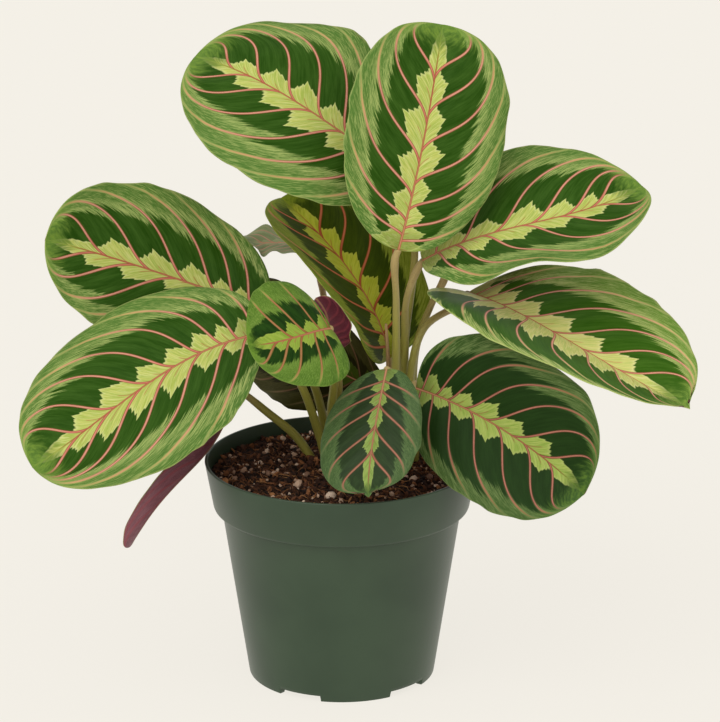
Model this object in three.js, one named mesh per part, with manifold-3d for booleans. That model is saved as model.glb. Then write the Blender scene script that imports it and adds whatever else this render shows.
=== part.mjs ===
import * as THREE from "three";
import Module from "manifold-3d";
import { mergeVertices } from "three/addons/utils/BufferGeometryUtils.js";

const wasm = await Module();
wasm.setup();

// Potted prayer plant, in millimetres. +Z is up, +X is to the viewer's right and
// +Y points away from the viewer. The origin is the middle of the pot's base.

// Nursery pot: a tapering wall under a stepped rim band, standing on five feet
const POT_HEIGHT = 93.6;
const LIP_RADIUS = 57;
const BAND_BOTTOM_RADIUS = 53.3;
const BAND_BOTTOM_Z = 73.4;
const BODY_TOP_RADIUS = 50.1;
const BASE_RADIUS = 39;
const POT_WALL = 1.3;
const PAD_RADIUS = 24;
const CHANNEL_HEIGHT = 3;
const FLOOR_THICKNESS = 1.5;
const FOOT_WIDTH = 2.8;
const FOOT_COUNT = 5;
const FIRST_FOOT_ANGLE = -81;
const NOTCH_ANGLE = 28;
const NOTCH_HEIGHT = 2.6;
const DRAIN_RADIUS = 2.6;
const POT_FACETS = 48;

// Potting mix, with its stalk holes and perlite grains
const SOIL_Z = 87.6;
const SOIL_CLEARANCE = 0.3;
const SOIL_RINGS = 10;
const SOIL_SECTORS = 36;
const STALK_ROOT_Z = 81.6;
const HOLE_CLEARANCE = 0.35;
const GRAIN_COUNT = 46;
const GRAIN_SPREAD = 50;
const GRAIN_SEED = 4;

// Leaf blades and their stalks
const BLADE_THICKNESS = 0.7;
const MIDRIB_RIDGE = 0.6;
const STALK_ROOT_RADIUS = 2.2;
const STALK_TOP_RADIUS = 1.5;
const STALK_SIDES = 8;
const STALK_STEPS = 12;
const HOLE_STEPS = 3;
const JOINT_GAP = 0.35;
const JOINT_LENGTH = 5;
const JOINT_FORWARD = 0.3;
const SMALL_LEAF_HALF_WIDTH = 28;
const BIG_LEAF_ROWS = 14;
const SMALL_LEAF_ROWS = 10;
const COLUMNS = [-1, -0.82, -0.56, -0.28, -0.04, 0, 0.04, 0.28, 0.56, 0.82, 1];
const SPUR_WIDTH = 0.1;

// Each leaf's midrib passes through the four points of rib, from base to tip. face is
// where the upper side looks. half is the width of the left and the right half, seen
// from above with the tip pointing away; fold and curl lift each half from the midrib
// on, wave ruffles its margin, and ends round the base and the tip. rightBase rounds the
// base of the right half alone. spur is the share of the length that a narrow spur takes
// at the tip. stalk is the root on the soil and two points that the stalk passes on its
// way to the blade.
const LEAVES = [
  {
    name: "top_left",
    rib: [[26.5, 15, 210.7], [-2.5, 11.5, 232.1], [-30, 21, 247.6], [-60.2, 40.5, 255.3]],
    face: [0.16, -0.7, 0.7],
    half: [41.1, 43.8],
    ends: [0.575, 0.5],
    fold: [4, 0],
    curl: [-13, -7],
    twist: -2,
    wave: [-0.8, 2.5],
    phase: [10, 124],
    waves: 1.8,
    stalk: [[21, 23], [27, 21, 143.1], [30.5, 17, 178.1]],
  },
  {
    name: "top_centre",
    rib: [[23.2, -14, 187.5], [30.5, -9.5, 217.6], [36.5, -1, 247.6], [41.2, 11, 274.8]],
    face: [0.13, -0.96, 0.25],
    half: [33.8, 33.5],
    ends: [0.487, 0.415],
    fold: [11, 6],
    curl: [-4, -18],
    twist: 1,
    wave: [0.5, 1.3],
    phase: [100, 180],
    waves: 2.25,
    stalk: [[21.2, 9], [22.6, 5.5, 132.1], [22.5, -4, 163.1]],
  },
  {
    name: "upper_right",
    rib: [[33.3, 3.5, 177.8], [63, -2.5, 191.6], [93.5, -3.5, 199.6], [123, 4.8, 208.9]],
    face: [-0.25, -0.56, 0.79],
    half: [37.1, 32.6],
    ends: [0.49, 0.485],
    fold: [8, 12],
    curl: [0, 8],
    twist: -4,
    wave: [-1.8, 3.6],
    phase: [-70, 100],
    waves: 2.05,
    stalk: [[25.5, 17], [26.5, 14, 136.1], [27, 8, 160.1]],
  },
  {
    name: "right",
    rib: [[53, 26, 157.6], [77.5, -0.5, 154.1], [107, -23.5, 142.6], [140.2, -42.7, 129]],
    face: [0.14, -0.25, 0.96],
    half: [43, 43],
    ends: [0.455, 0.425],
    fold: [13, 25],
    curl: [3, -18],
    twist: 2,
    wave: [-0.8, -0.7],
    phase: [-110, 10],
    waves: 2.7,
    spur: 0.02,
    rightBase: 0.32,
    stalk: [[31, 12], [29, 11, 127.1], [34.8, 16, 145.6]],
  },
  {
    name: "lower_right",
    rib: [[30.7, -9.5, 127.2], [54.5, -26, 121.6], [77.5, -41.5, 111.1], [97.3, -57.5, 98]],
    face: [-0.52, -0.84, 0.15],
    half: [38, 31.6],
    ends: [0.44, 0.39],
    fold: [4, 31],
    curl: [8, 0],
    twist: -2,
    wave: [2.3, 0.3],
    phase: [78, -35],
    waves: 1.95,
    stalk: [[26, 5], [25, 4, 104.1], [27.5, 2, 116.1]],
  },
  {
    name: "small_front",
    rib: [[18.4, -22.5, 139.5], [14.6, -38, 125.4], [11.6, -52, 110.7], [10.8, -65, 99.5]],
    face: [-0.27, -0.65, 0.71],
    half: [19.8, 22.8],
    ends: [0.49, 0.44],
    fold: [8, 4],
    curl: [-17, -16],
    twist: 7,
    wave: [0.9, -0.1],
    phase: [-27, 112],
    waves: 2.35,
    spur: 0.05,
    stalk: [[16.5, 5.5], [20, 0, 108.1], [20.5, -12, 127.1]],
  },
  {
    name: "small_centre",
    rib: [[-4.2, -25, 157.6], [-13, -36.5, 159.1], [-24.5, -46, 158.6], [-37, -52.5, 159.1]],
    face: [0.5, -0.53, 0.68],
    half: [24, 26.6],
    ends: [0.37, 0.47],
    fold: [10, 2],
    curl: [-10, -13],
    twist: -6,
    wave: [0.1, 0.3],
    phase: [10, 120],
    waves: 2.5,
    stalk: [[1.5, 16], [-4, 10, 107.1], [-3, -6, 130.1]],
  },
  {
    name: "upper_left",
    rib: [[-30.8, 23, 151], [-63, 23.5, 162.6], [-93, 16.5, 175.1], [-121.1, 4.5, 186.9]],
    face: [0.33, -0.87, 0.37],
    half: [31.3, 35],
    ends: [0.485, 0.46],
    fold: [9, 4],
    curl: [-8, -13],
    twist: 10,
    wave: [-1.4, -1.4],
    phase: [31, 154],
    waves: 2.5,
    stalk: [[-5, 24], [-8, 20, 106.1], [-13, 15, 125.1]],
  },
  {
    name: "lower_left",
    rib: [[-31.8, -21.5, 154.5], [-66.5, -28, 143.1], [-95.5, -44, 126.6], [-123.1, -61.5, 111.2]],
    face: [0, -0.73, 0.68],
    half: [36, 38.9],
    ends: [0.42, 0.485],
    fold: [8, 3],
    curl: [-11, -24],
    twist: 3.5,
    wave: [0, 0.7],
    phase: [0, 120],
    waves: 2.65,
    stalk: [[-5, 17], [-10, 10, 103.1], [-18, -8, 131.1]],
  },
  {
    name: "centre_back",
    rib: [[20.2, 28, 128.2], [10.5, 32, 154.1], [-6.5, 43, 175.1], [-25.5, 59.5, 189.7]],
    face: [0.43, -0.65, 0.63],
    half: [31, 32],
    ends: [0.4, 0.485],
    fold: [21, 10],
    curl: [16, -2],
    twist: 14,
    wave: [-0.6, -1.2],
    phase: [43, 123],
    waves: 2.5,
    stalk: [[14, 18], [14, 19, 104.1], [16, 23, 117.1]],
  },
  {
    name: "rolled_left",
    rib: [[-46.5, 17, 114.1], [-56, 7, 95.1], [-70, -16, 86.1], [-87, -24, 63.6]],
    face: [0.15, -0.93, 0.35],
    half: [11, 7],
    ends: [0.35, 0.25],
    fold: [112, 20],
    curl: [60, 25],
    twist: 0,
    wave: [1.5, 1],
    phase: [0, 120],
    waves: 2.5,
    stalk: [[-10, 20], [-18.5, 20, 95.6], [-30, 19.5, 106.3]],
  },
  {
    name: "far_back",
    rib: [[-8.8, 52.5, 162.6], [-18, 59.5, 169.1], [-29.5, 64, 168.6], [-40.5, 62.5, 170.4]],
    face: [0.17, -0.19, 0.97],
    half: [12.2, 13.6],
    ends: [0.45, 0.38],
    fold: [8, 5],
    curl: [-11, -17],
    twist: 6,
    wave: [-1, 3.5],
    phase: [107, 94],
    waves: 2.6,
    stalk: [[-3, 34], [-5, 50, 103.1], [-5, 58, 129.1]],
  },
  {
    name: "curled_centre",
    rib: [[-3, 1.5, 139.6], [-5, 1, 148.1], [-6, 0, 155.6], [-10.4, -2.5, 163.8]],
    face: [-0.17, 0.98, 0.1],
    half: [13.5, 13],
    ends: [0.455, 0.45],
    fold: [-19, -20],
    curl: [-64, -70],
    twist: 0,
    wave: [0.6, 0],
    phase: [-15, 120],
    waves: 2.2,
    stalk: [[3, 22], [-2, 18, 104.1], [-1, 8, 123.1]],
  },
  {
    name: "low_back",
    rib: [[18.4, 34.5, 111.1], [-7, 40, 122.1], [-27.5, 52, 130.1], [-44.2, 72, 130.6]],
    face: [-0.52, -0.86, 0],
    half: [27.5, 26.8],
    ends: [0.565, 0.39],
    fold: [7, 11],
    curl: [-12, -6],
    twist: -2,
    wave: [1, -1.2],
    phase: [74, 183],
    waves: 2.35,
    stalk: [[15.5, 26], [17, 36, 94.1], [19, 44, 101.1]],
  },
  {
    name: "back_right",
    rib: [[44, 24, 169.6], [59, 47, 177.6], [76, 69, 182.6], [93, 88, 183.6]],
    face: [-0.1, -0.35, 0.95],
    half: [27, 27],
    ends: [0.47, 0.47],
    fold: [8, 8],
    curl: [-12, -12],
    twist: 0,
    wave: [1, 1],
    phase: [0, 120],
    waves: 2.5,
    stalk: [[31, 20], [31, 22, 133.1], [38, 23, 154.1]],
  },
];

// A dry sheath stands up beside the middle stalks, where an old leaf was
const DRY_SHEATH = [[19, 14], [19.8, 13.5, 109.1], [19.6, 13, 129.1], [18.6, 12.5, 148.1]];
const SHEATH_ROOT_RADIUS = 2.1;
const SHEATH_TOP_RADIUS = 0.7;

const finish = (color, roughness) =>
  new THREE.MeshStandardMaterial({ color, roughness, metalness: 0 });
const potPlastic = () => finish(0x43503d, 0.42);
const pottingMix = () => finish(0x3a2418, 0.95);
const greenBlade = () => finish(0x3f6b2c, 0.5);
const burgundyBlade = () => finish(0x5e2434, 0.5);
const oliveStalk = () => finish(0x8f8448, 0.5);
const dryBrown = () => finish(0x9a7448, 0.8);

const vector = (p) => new THREE.Vector3(p[0], p[1], p[2]);
const radians = THREE.MathUtils.degToRad;

// Random draws come from one seeded generator, each a number from 0 to 1
let drawState = GRAIN_SEED;
function draw() {
  drawState = (drawState * 1664525 + 1013904223) % 4294967296;
  return drawState / 4294967296;
}

function meshOf(positions, faces) {
  const geometry = new THREE.BufferGeometry();
  geometry.setAttribute("position", new THREE.Float32BufferAttribute(positions, 3));
  geometry.setIndex(faces);
  return geometry;
}

// Solids for cutting and joining
function solidOf(geometry) {
  const bare = geometry.clone();
  bare.deleteAttribute("normal");
  bare.deleteAttribute("uv");
  const merged = mergeVertices(bare, 1e-4);
  return new wasm.Manifold(
    new wasm.Mesh({
      numProp: 3,
      vertProperties: new Float32Array(merged.attributes.position.array),
      triVerts: new Uint32Array(merged.index.array),
    })
  );
}

function geometryOf(solid) {
  const mesh = solid.getMesh();
  return meshOf(Array.from(mesh.vertProperties), Array.from(mesh.triVerts));
}

// A body turned round Z from a profile of [radius, height] points that starts and ends
// on the axis, listed up the outside and then down the inside
function turned(profile, facets) {
  return new THREE.LatheGeometry(
    profile.map(([r, z]) => new THREE.Vector2(r, z)),
    facets
  ).rotateX(Math.PI / 2);
}

// The cubic curve that passes through four points at equal steps
function curveThrough(points) {
  const [start, p, q, end] = points.map(vector);
  const mix = (a, b, c, d) =>
    new THREE.Vector3()
      .addScaledVector(start, a / 6)
      .addScaledVector(p, b / 6)
      .addScaledVector(q, c / 6)
      .addScaledVector(end, d / 6);
  return new THREE.CubicBezierCurve3(start, mix(-5, 18, -9, 2), mix(2, -9, 18, -5), end);
}

// Pot
function potProfile() {
  const innerFloor = CHANNEL_HEIGHT + FLOOR_THICKNESS;
  const footInner = BASE_RADIUS - FOOT_WIDTH;
  return [
    [0, 0],
    [PAD_RADIUS, 0],
    [PAD_RADIUS + 1.5, CHANNEL_HEIGHT],
    [footInner - 0.6, CHANNEL_HEIGHT],
    [footInner, 0],
    [BASE_RADIUS - 0.7, 0],
    [BASE_RADIUS, 0.8],
    [BODY_TOP_RADIUS, BAND_BOTTOM_Z],
    [BAND_BOTTOM_RADIUS - 0.9, BAND_BOTTOM_Z],
    [BAND_BOTTOM_RADIUS, BAND_BOTTOM_Z + 0.9],
    [LIP_RADIUS, POT_HEIGHT - 0.6],
    [LIP_RADIUS - 0.5, POT_HEIGHT],
    [LIP_RADIUS - POT_WALL + 0.3, POT_HEIGHT],
    [LIP_RADIUS - POT_WALL, POT_HEIGHT - 0.5],
    [BAND_BOTTOM_RADIUS - POT_WALL, BAND_BOTTOM_Z + 1.6],
    [BODY_TOP_RADIUS - POT_WALL, BAND_BOTTOM_Z - 1.2],
    [BASE_RADIUS - POT_WALL + 0.6, innerFloor + 1],
    [BASE_RADIUS - POT_WALL - 0.6, innerFloor],
    [PAD_RADIUS + 1.2, innerFloor],
    [PAD_RADIUS - 1, FLOOR_THICKNESS],
    [0, FLOOR_THICKNESS],
  ];
}

function notchCutter(angle) {
  const inner = BASE_RADIUS - 8;
  const outer = BASE_RADIUS + 4;
  const half = radians(NOTCH_ANGLE / 2);
  const middle = radians(angle);
  const shape = new THREE.Shape();
  shape.absarc(0, 0, outer, middle - half, middle + half, false);
  shape.absarc(0, 0, inner, middle + half, middle - half, true);
  const settings = { depth: NOTCH_HEIGHT + 1, bevelEnabled: false, curveSegments: 4 };
  return new THREE.ExtrudeGeometry(shape, settings).translate(0, 0, -1);
}

function drainCutter(angle) {
  const reach = BASE_RADIUS - FOOT_WIDTH - DRAIN_RADIUS - 1;
  const height = CHANNEL_HEIGHT + FLOOR_THICKNESS + 2;
  return new THREE.CylinderGeometry(DRAIN_RADIUS, DRAIN_RADIUS, height, 12)
    .rotateX(Math.PI / 2)
    .translate(reach * Math.cos(radians(angle)), reach * Math.sin(radians(angle)), height / 2);
}

function potGeometry() {
  const step = 360 / FOOT_COUNT;
  let pot = solidOf(turned(potProfile(), POT_FACETS));
  for (let k = 0; k < FOOT_COUNT; k += 1) {
    const notchMiddle = FIRST_FOOT_ANGLE + step * (k + 0.5);
    pot = pot.subtract(solidOf(notchCutter(notchMiddle)));
    pot = pot.subtract(solidOf(drainCutter(notchMiddle - NOTCH_ANGLE / 4)));
  }
  return geometryOf(pot);
}

// Potting mix
function soilHeight(x, y) {
  const lumps = 0.7 * Math.sin(x * 0.31 + 1.2 * Math.sin(y * 0.23)) * Math.cos(y * 0.27);
  const crumbs = 0.25 * Math.sin(x * 0.83 + y * 0.41) * Math.sin(y * 0.77 - x * 0.35);
  return SOIL_Z + lumps + crumbs;
}

function soilProfile() {
  const gap = SOIL_CLEARANCE;
  const wallTop = BODY_TOP_RADIUS - POT_WALL - gap;
  const bandSlope = (LIP_RADIUS - BAND_BOTTOM_RADIUS) / (POT_HEIGHT - BAND_BOTTOM_Z);
  const surfaceRadius = LIP_RADIUS - POT_WALL - gap - bandSlope * (POT_HEIGHT - SOIL_Z + 1);
  const floor = CHANNEL_HEIGHT + FLOOR_THICKNESS + gap;
  return [
    [0, FLOOR_THICKNESS + gap],
    [PAD_RADIUS - 1.2, FLOOR_THICKNESS + gap],
    [PAD_RADIUS + 1, floor],
    [BASE_RADIUS - POT_WALL - 1, floor],
    [BASE_RADIUS - POT_WALL + 0.2, floor + 1],
    [wallTop, BAND_BOTTOM_Z - 1.4],
    [BAND_BOTTOM_RADIUS - POT_WALL - gap, BAND_BOTTOM_Z + 1.9],
    [surfaceRadius, SOIL_Z - 1],
  ];
}

function soilBody() {
  const profile = soilProfile();
  const [surfaceRadius] = profile[profile.length - 1];
  const rings = profile.map(([r, z]) => [r, () => z]);
  for (let k = SOIL_RINGS - 1; k > 0; k -= 1) {
    rings.push([(surfaceRadius * k) / SOIL_RINGS, soilHeight]);
  }
  const positions = [0, 0, profile[0][1]];
  for (const [r, height] of rings.slice(1)) {
    for (let j = 0; j < SOIL_SECTORS; j += 1) {
      const angle = (2 * Math.PI * j) / SOIL_SECTORS;
      const x = r * Math.cos(angle);
      const y = r * Math.sin(angle);
      positions.push(x, y, height(x, y));
    }
  }
  positions.push(0, 0, soilHeight(0, 0));
  return meshOf(positions, ringFaces(rings.length - 1, SOIL_SECTORS));
}

// Faces of a closed body made of rings of points between two end points
function ringFaces(ringCount, sides) {
  const faces = [];
  const last = ringCount * sides + 1;
  const point = (ring, side) => 1 + ring * sides + (side % sides);
  for (let side = 0; side < sides; side += 1) {
    faces.push(0, point(0, side + 1), point(0, side));
    faces.push(last, point(ringCount - 1, side), point(ringCount - 1, side + 1));
    for (let ring = 0; ring < ringCount - 1; ring += 1) {
      const a = point(ring, side);
      const b = point(ring, side + 1);
      const c = point(ring + 1, side);
      const d = point(ring + 1, side + 1);
      faces.push(a, b, d, a, d, c);
    }
  }
  return faces;
}

// A plain hole for one stalk, following its first stretch up out of the mix
function holeCutter(path, stalkRadius) {
  const radius = stalkRadius + HOLE_CLEARANCE;
  let end = 0;
  while (path.getPointAt(end).z < SOIL_Z + 5) {
    end += 0.01;
  }
  const stops = Array.from({ length: HOLE_STEPS + 1 }, (_, k) => (end * k) / HOLE_STEPS);
  return tube(path, stops, () => radius, HOLE_CLEARANCE);
}

// Perlite grains lie on the mix by the sunflower rule, clear of the stalks
function perliteGrains(stalkFeet) {
  const grains = [];
  const goldenAngle = Math.PI * (3 - Math.sqrt(5));
  for (let k = 0; k < GRAIN_COUNT; k += 1) {
    const radius = GRAIN_SPREAD * Math.sqrt((k + 0.5) / GRAIN_COUNT);
    const angle = k * goldenAngle + 0.6 * draw();
    const size = 1.1 + 1.2 * draw() * draw();
    const lean = 3 * draw();
    const x = radius * Math.cos(angle);
    const y = radius * Math.sin(angle);
    if (stalkFeet.every((foot) => Math.hypot(foot[0] - x, foot[1] - y) > 3.4 + size)) {
      const grain = new THREE.OctahedronGeometry(size, 0);
      grain.scale(1.15, 1, 0.85).rotateX(lean).rotateZ(angle);
      grain.translate(x, y, soilHeight(x, y) - 0.2);
      grains.push(grain);
    }
  }
  return grains;
}

function soilGeometry(stalkPaths) {
  const stalkFeet = stalkPaths.map((path) => path.getPoint(0).toArray());
  let soil = solidOf(soilBody());
  for (const grain of perliteGrains(stalkFeet)) {
    soil = soil.add(solidOf(grain));
  }
  for (const path of stalkPaths) {
    soil = soil.subtract(solidOf(holeCutter(path, STALK_ROOT_RADIUS)));
  }
  return geometryOf(soil);
}

// Leaf blade
// Half-width of one side of a blade at the share a of its length, as a share of its widest
// place: an oval up to the spur, and the spur, which narrows evenly to the tip
function outline(a, leaf, side) {
  const [bothBases, tip] = leaf.ends;
  const base = side === 1 ? (leaf.rightBase ?? bothBases) : bothBases;
  const spurShare = leaf.spur ?? 0;
  const b = Math.min(a / (1 - spurShare), 1);
  const widest = base / (base + tip);
  const oval = (b / widest) ** base * ((1 - b) / (1 - widest)) ** tip;
  const spur = 1 - a < 2 * spurShare ? (SPUR_WIDTH * (1 - a)) / spurShare : 0;
  return Math.max(oval, spur);
}

// A point of the blade's middle surface, at the share a of its length and v from -1, the
// left margin, to 1, the right margin. Each half is an arc that leaves the midrib at
// the fold's angle and bends by curl, with a ruffle that grows towards the margin.
function bladePoint(leaf, midrib, a, v) {
  const side = v > 0 ? 1 : 0;
  const outward = v > 0 ? 1 : -1;
  const u = Math.abs(v);
  const along = midrib.getTangent(a);
  const across = along.clone().cross(vector(leaf.face)).normalize();
  const up = across.clone().cross(along);
  const turn = radians(leaf.twist) * (a - 0.5);
  const sideways = across.clone().multiplyScalar(Math.cos(turn)).addScaledVector(up, Math.sin(turn));
  const lift = up.clone().multiplyScalar(Math.cos(turn)).addScaledVector(across, -Math.sin(turn));
  const width = outline(a, leaf, side) * u;
  const bend = (radians(leaf.curl[side]) * width) / 2;
  const chord = leaf.half[side] * width * (Math.abs(bend) < 1e-6 ? 1 : Math.sin(bend) / bend);
  const slope = radians(leaf.fold[side]) + bend;
  const cycle = 2 * Math.PI * leaf.waves * a + radians(leaf.phase[side]);
  const ruffle = leaf.wave[side] * Math.sin(cycle) * u ** 2 * width;
  const out = chord * Math.cos(slope) - ruffle * Math.sin(slope + bend);
  const rise = chord * Math.sin(slope) + ruffle * Math.cos(slope + bend);
  return midrib.getPoint(a).addScaledVector(sideways, outward * out).addScaledVector(lift, rise);
}

// Which way the blade's upper side looks at a point, from two short steps over it
function bladeNormal(leaf, midrib, a, v) {
  const step = 0.004;
  const low = Math.max(a - step, 0.002);
  const high = Math.min(a + step, 0.998);
  const left = Math.max(v - step * 5, -1);
  const right = Math.min(v + step * 5, 1);
  const middle = THREE.MathUtils.clamp(a, 0.01, 0.99);
  const along = bladePoint(leaf, midrib, high, v).sub(bladePoint(leaf, midrib, low, v));
  const across = bladePoint(leaf, midrib, middle, right).sub(bladePoint(leaf, midrib, middle, left));
  return across.cross(along).normalize();
}

// The blade as one closed body: the upper face, the lower face with the midrib standing
// out of it, and the margin between them. Both faces are split along the same diagonals.
function bladeGeometry(leaf) {
  const midrib = curveThrough(leaf.rib);
  const rows = Math.max(...leaf.half) < SMALL_LEAF_HALF_WIDTH ? SMALL_LEAF_ROWS : BIG_LEAF_ROWS;
  const ovalRows = leaf.spur ? rows - 1 : rows;
  const ovalShare = 1 - (leaf.spur ?? 0);
  const positions = [];
  const layers = [0.5, -0.5];
  const addPoint = (a, v, layer) => {
    const onMidrib = v === 0 && layer < 0;
    const ridge = onMidrib ? MIDRIB_RIDGE * Math.sin(Math.PI * Math.sqrt(1 - a)) : 0;
    const offset = layer * BLADE_THICKNESS - ridge;
    const normal = bladeNormal(leaf, midrib, a, v);
    positions.push(...bladePoint(leaf, midrib, a, v).addScaledVector(normal, offset));
  };
  for (const layer of layers) {
    addPoint(0, 0, layer);
    for (let row = 1; row < rows; row += 1) {
      const a = (ovalShare * (1 - Math.cos((Math.PI * row) / ovalRows))) / 2;
      COLUMNS.forEach((v) => addPoint(a, v, layer));
    }
    addPoint(1, 0, layer);
  }
  return meshOf(positions, bladeFaces(rows, COLUMNS.length));
}

function bladeFaces(rows, columns) {
  const faces = [];
  const layerSize = (rows - 1) * columns + 2;
  const point = (layer, row, column) => {
    const inLayer = row === 0 ? 0 : Math.min(1 + (row - 1) * columns + column, layerSize - 1);
    return layer * layerSize + (row === rows ? layerSize - 1 : inLayer);
  };
  const addTriangle = (a, b, c) => {
    if (a !== b && b !== c && c !== a) {
      faces.push(a, b, c);
    }
  };
  for (let row = 0; row < rows; row += 1) {
    for (let column = 0; column < columns - 1; column += 1) {
      const [top, under] = [0, 1].map((layer) => [
        point(layer, row, column),
        point(layer, row, column + 1),
        point(layer, row + 1, column + 1),
        point(layer, row + 1, column),
      ]);
      addTriangle(top[0], top[1], top[2]);
      addTriangle(top[0], top[2], top[3]);
      addTriangle(under[0], under[2], under[1]);
      addTriangle(under[0], under[3], under[2]);
    }
    for (const [column, outward] of [[0, false], [columns - 1, true]]) {
      const a = point(0, row, column);
      const b = point(0, row + 1, column);
      const c = point(1, row + 1, column);
      const d = point(1, row, column);
      if (outward) {
        addTriangle(a, d, c);
        addTriangle(a, c, b);
      } else {
        addTriangle(a, c, d);
        addTriangle(a, b, c);
      }
    }
  }
  return faces;
}

// A round tube along a path, with a ring of points at each of the stops along it, given
// as shares of its length. Its foot is set below the path's start.
function tube(path, stops, radiusAt, below) {
  const foot = path.getPointAt(0).addScaledVector(path.getTangentAt(0), -below);
  const positions = [...foot];
  const sideStart = new THREE.Vector3(1, 0, 0);
  for (const stop of stops) {
    const centre = stop === 0 ? foot : path.getPointAt(stop);
    const along = path.getTangentAt(stop);
    const across = along.clone().cross(sideStart).normalize();
    const third = across.clone().cross(along);
    for (let side = 0; side < STALK_SIDES; side += 1) {
      const angle = (-2 * Math.PI * side) / STALK_SIDES;
      const point = centre.clone();
      point.addScaledVector(across, radiusAt(stop) * Math.cos(angle));
      point.addScaledVector(third, radiusAt(stop) * Math.sin(angle));
      positions.push(...point);
    }
  }
  positions.push(...path.getPointAt(stops[stops.length - 1]));
  return meshOf(positions, ringFaces(stops.length, STALK_SIDES));
}

// A stalk narrows from its root to its top, and its rings lie closer towards the top,
// where it bends most
function stalkGeometry(path, rootRadius, topRadius) {
  const stops = [];
  for (let step = 0; step <= STALK_STEPS; step += 1) {
    stops.push(Math.sin((Math.PI / 2) * (step / STALK_STEPS)));
  }
  return tube(path, stops, (stop) => THREE.MathUtils.lerp(rootRadius, topRadius, stop), 0);
}

function rooted([x, y]) {
  return new THREE.Vector3(x, y, STALK_ROOT_Z);
}

// The stalk runs up through its points and bends at a short joint into the blade's
// midrib, level with neither half, and stops a hair short of the blade
function stalkPath(leaf) {
  const [foot, low, high] = leaf.stalk;
  const top = vector(leaf.rib[0]);
  const along = curveThrough(leaf.rib).getTangent(0);
  const across = along.clone().cross(vector(leaf.face)).normalize();
  const lift = across.clone().cross(along);
  const arriving = top.clone().sub(vector(high)).normalize();
  const forward = Math.max(arriving.dot(along), JOINT_FORWARD);
  const joint = along.multiplyScalar(forward).addScaledVector(lift, arriving.dot(lift)).normalize();
  const back = JOINT_GAP + (Math.abs(joint.dot(lift)) * BLADE_THICKNESS) / 2;
  const neck = top.clone().addScaledVector(joint, -JOINT_LENGTH);
  const end = top.clone().addScaledVector(joint, -back);
  return new THREE.CatmullRomCurve3([rooted(foot), vector(low), vector(high), neck, end]);
}

// The whole plant in its pot
const plant = new THREE.Group();

function addPiece(name, geometry, material) {
  const piece = new THREE.Mesh(geometry, material);
  piece.name = name;
  plant.add(piece);
}

const [sheathFoot, ...sheathRest] = DRY_SHEATH;
const sheathPath = new THREE.CatmullRomCurve3([rooted(sheathFoot), ...sheathRest.map(vector)]);
const stalkPaths = LEAVES.map(stalkPath);

addPiece("pot", potGeometry(), potPlastic());
addPiece("soil", soilGeometry([...stalkPaths, sheathPath]), pottingMix());
const sheath = stalkGeometry(sheathPath, SHEATH_ROOT_RADIUS, SHEATH_TOP_RADIUS);
addPiece("dry_sheath", sheath, dryBrown());
LEAVES.forEach((leaf, k) => {
  const blade = leaf.name === "curled_centre" ? burgundyBlade() : greenBlade();
  const stalk = stalkGeometry(stalkPaths[k], STALK_ROOT_RADIUS, STALK_TOP_RADIUS);
  addPiece(`stalk_${leaf.name}`, stalk, oliveStalk());
  addPiece(`leaf_${leaf.name}`, bladeGeometry(leaf), blade);
});

export default plant;
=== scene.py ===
import math

import bpy
import numpy as np
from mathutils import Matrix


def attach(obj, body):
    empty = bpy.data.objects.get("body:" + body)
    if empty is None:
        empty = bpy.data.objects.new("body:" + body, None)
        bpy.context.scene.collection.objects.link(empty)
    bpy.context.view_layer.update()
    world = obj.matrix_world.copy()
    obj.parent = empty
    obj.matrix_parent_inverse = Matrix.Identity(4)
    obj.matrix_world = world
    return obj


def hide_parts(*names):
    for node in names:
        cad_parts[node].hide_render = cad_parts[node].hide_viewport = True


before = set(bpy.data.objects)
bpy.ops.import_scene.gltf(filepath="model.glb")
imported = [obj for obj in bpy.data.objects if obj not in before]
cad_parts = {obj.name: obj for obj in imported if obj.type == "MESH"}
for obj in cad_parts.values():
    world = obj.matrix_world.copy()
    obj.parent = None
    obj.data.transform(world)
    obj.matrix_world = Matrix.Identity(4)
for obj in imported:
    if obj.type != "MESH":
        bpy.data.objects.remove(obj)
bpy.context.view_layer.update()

# The shapes are worked out in millimetres and made in metres
MM = 0.001

# Camera
CAMERA_PLACE = (0.0, -1.4, 0.5771)
CAMERA_PITCH = 17.49
CAMERA_YAW = 0.316
CAMERA_LENS = 177.3

# Pot
POT_HEIGHT = 93.6
LIP_RADIUS = 57.0
BAND_BOTTOM_RADIUS = 53.3
BAND_BOTTOM_Z = 73.4
BODY_TOP_RADIUS = 50.1
BASE_RADIUS = 39.0
POT_WALL = 1.3
PAD_RADIUS = 24.0
CHANNEL_HEIGHT = 3.0
FLOOR_THICKNESS = 1.5
FOOT_WIDTH = 2.8
FOOT_COUNT = 5
FIRST_FOOT_ANGLE = -81.0
NOTCH_ANGLE = 28.0
NOTCH_HEIGHT = 2.6
POT_SIDES = 240
CORNER_POINTS = 4

# Potting mix
SOIL_Z = 87.6
SOIL_RADIUS = 54.2
STALK_ROOT_Z = 81.6
BIG_GRAINS = 46
GRAIN_SPREAD = 50.0
GRAIN_SEED = 4
SMALL_GRAINS, SMALL_GRAIN_SPREAD = 300, 52.5
BARK_CRUMBS, BARK_SPREAD = 1500, 53.2
FIBRES, FIBRE_SPREAD, FIBRE_LIMIT = 520, 51.0, 53.0
GRAIN_CLEARANCE, CRUMB_CLEARANCE = 3.4, 3.2
MIX_GAP = 0.3
MIX_RINGS, MIX_SIDES = 110, 360

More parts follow.
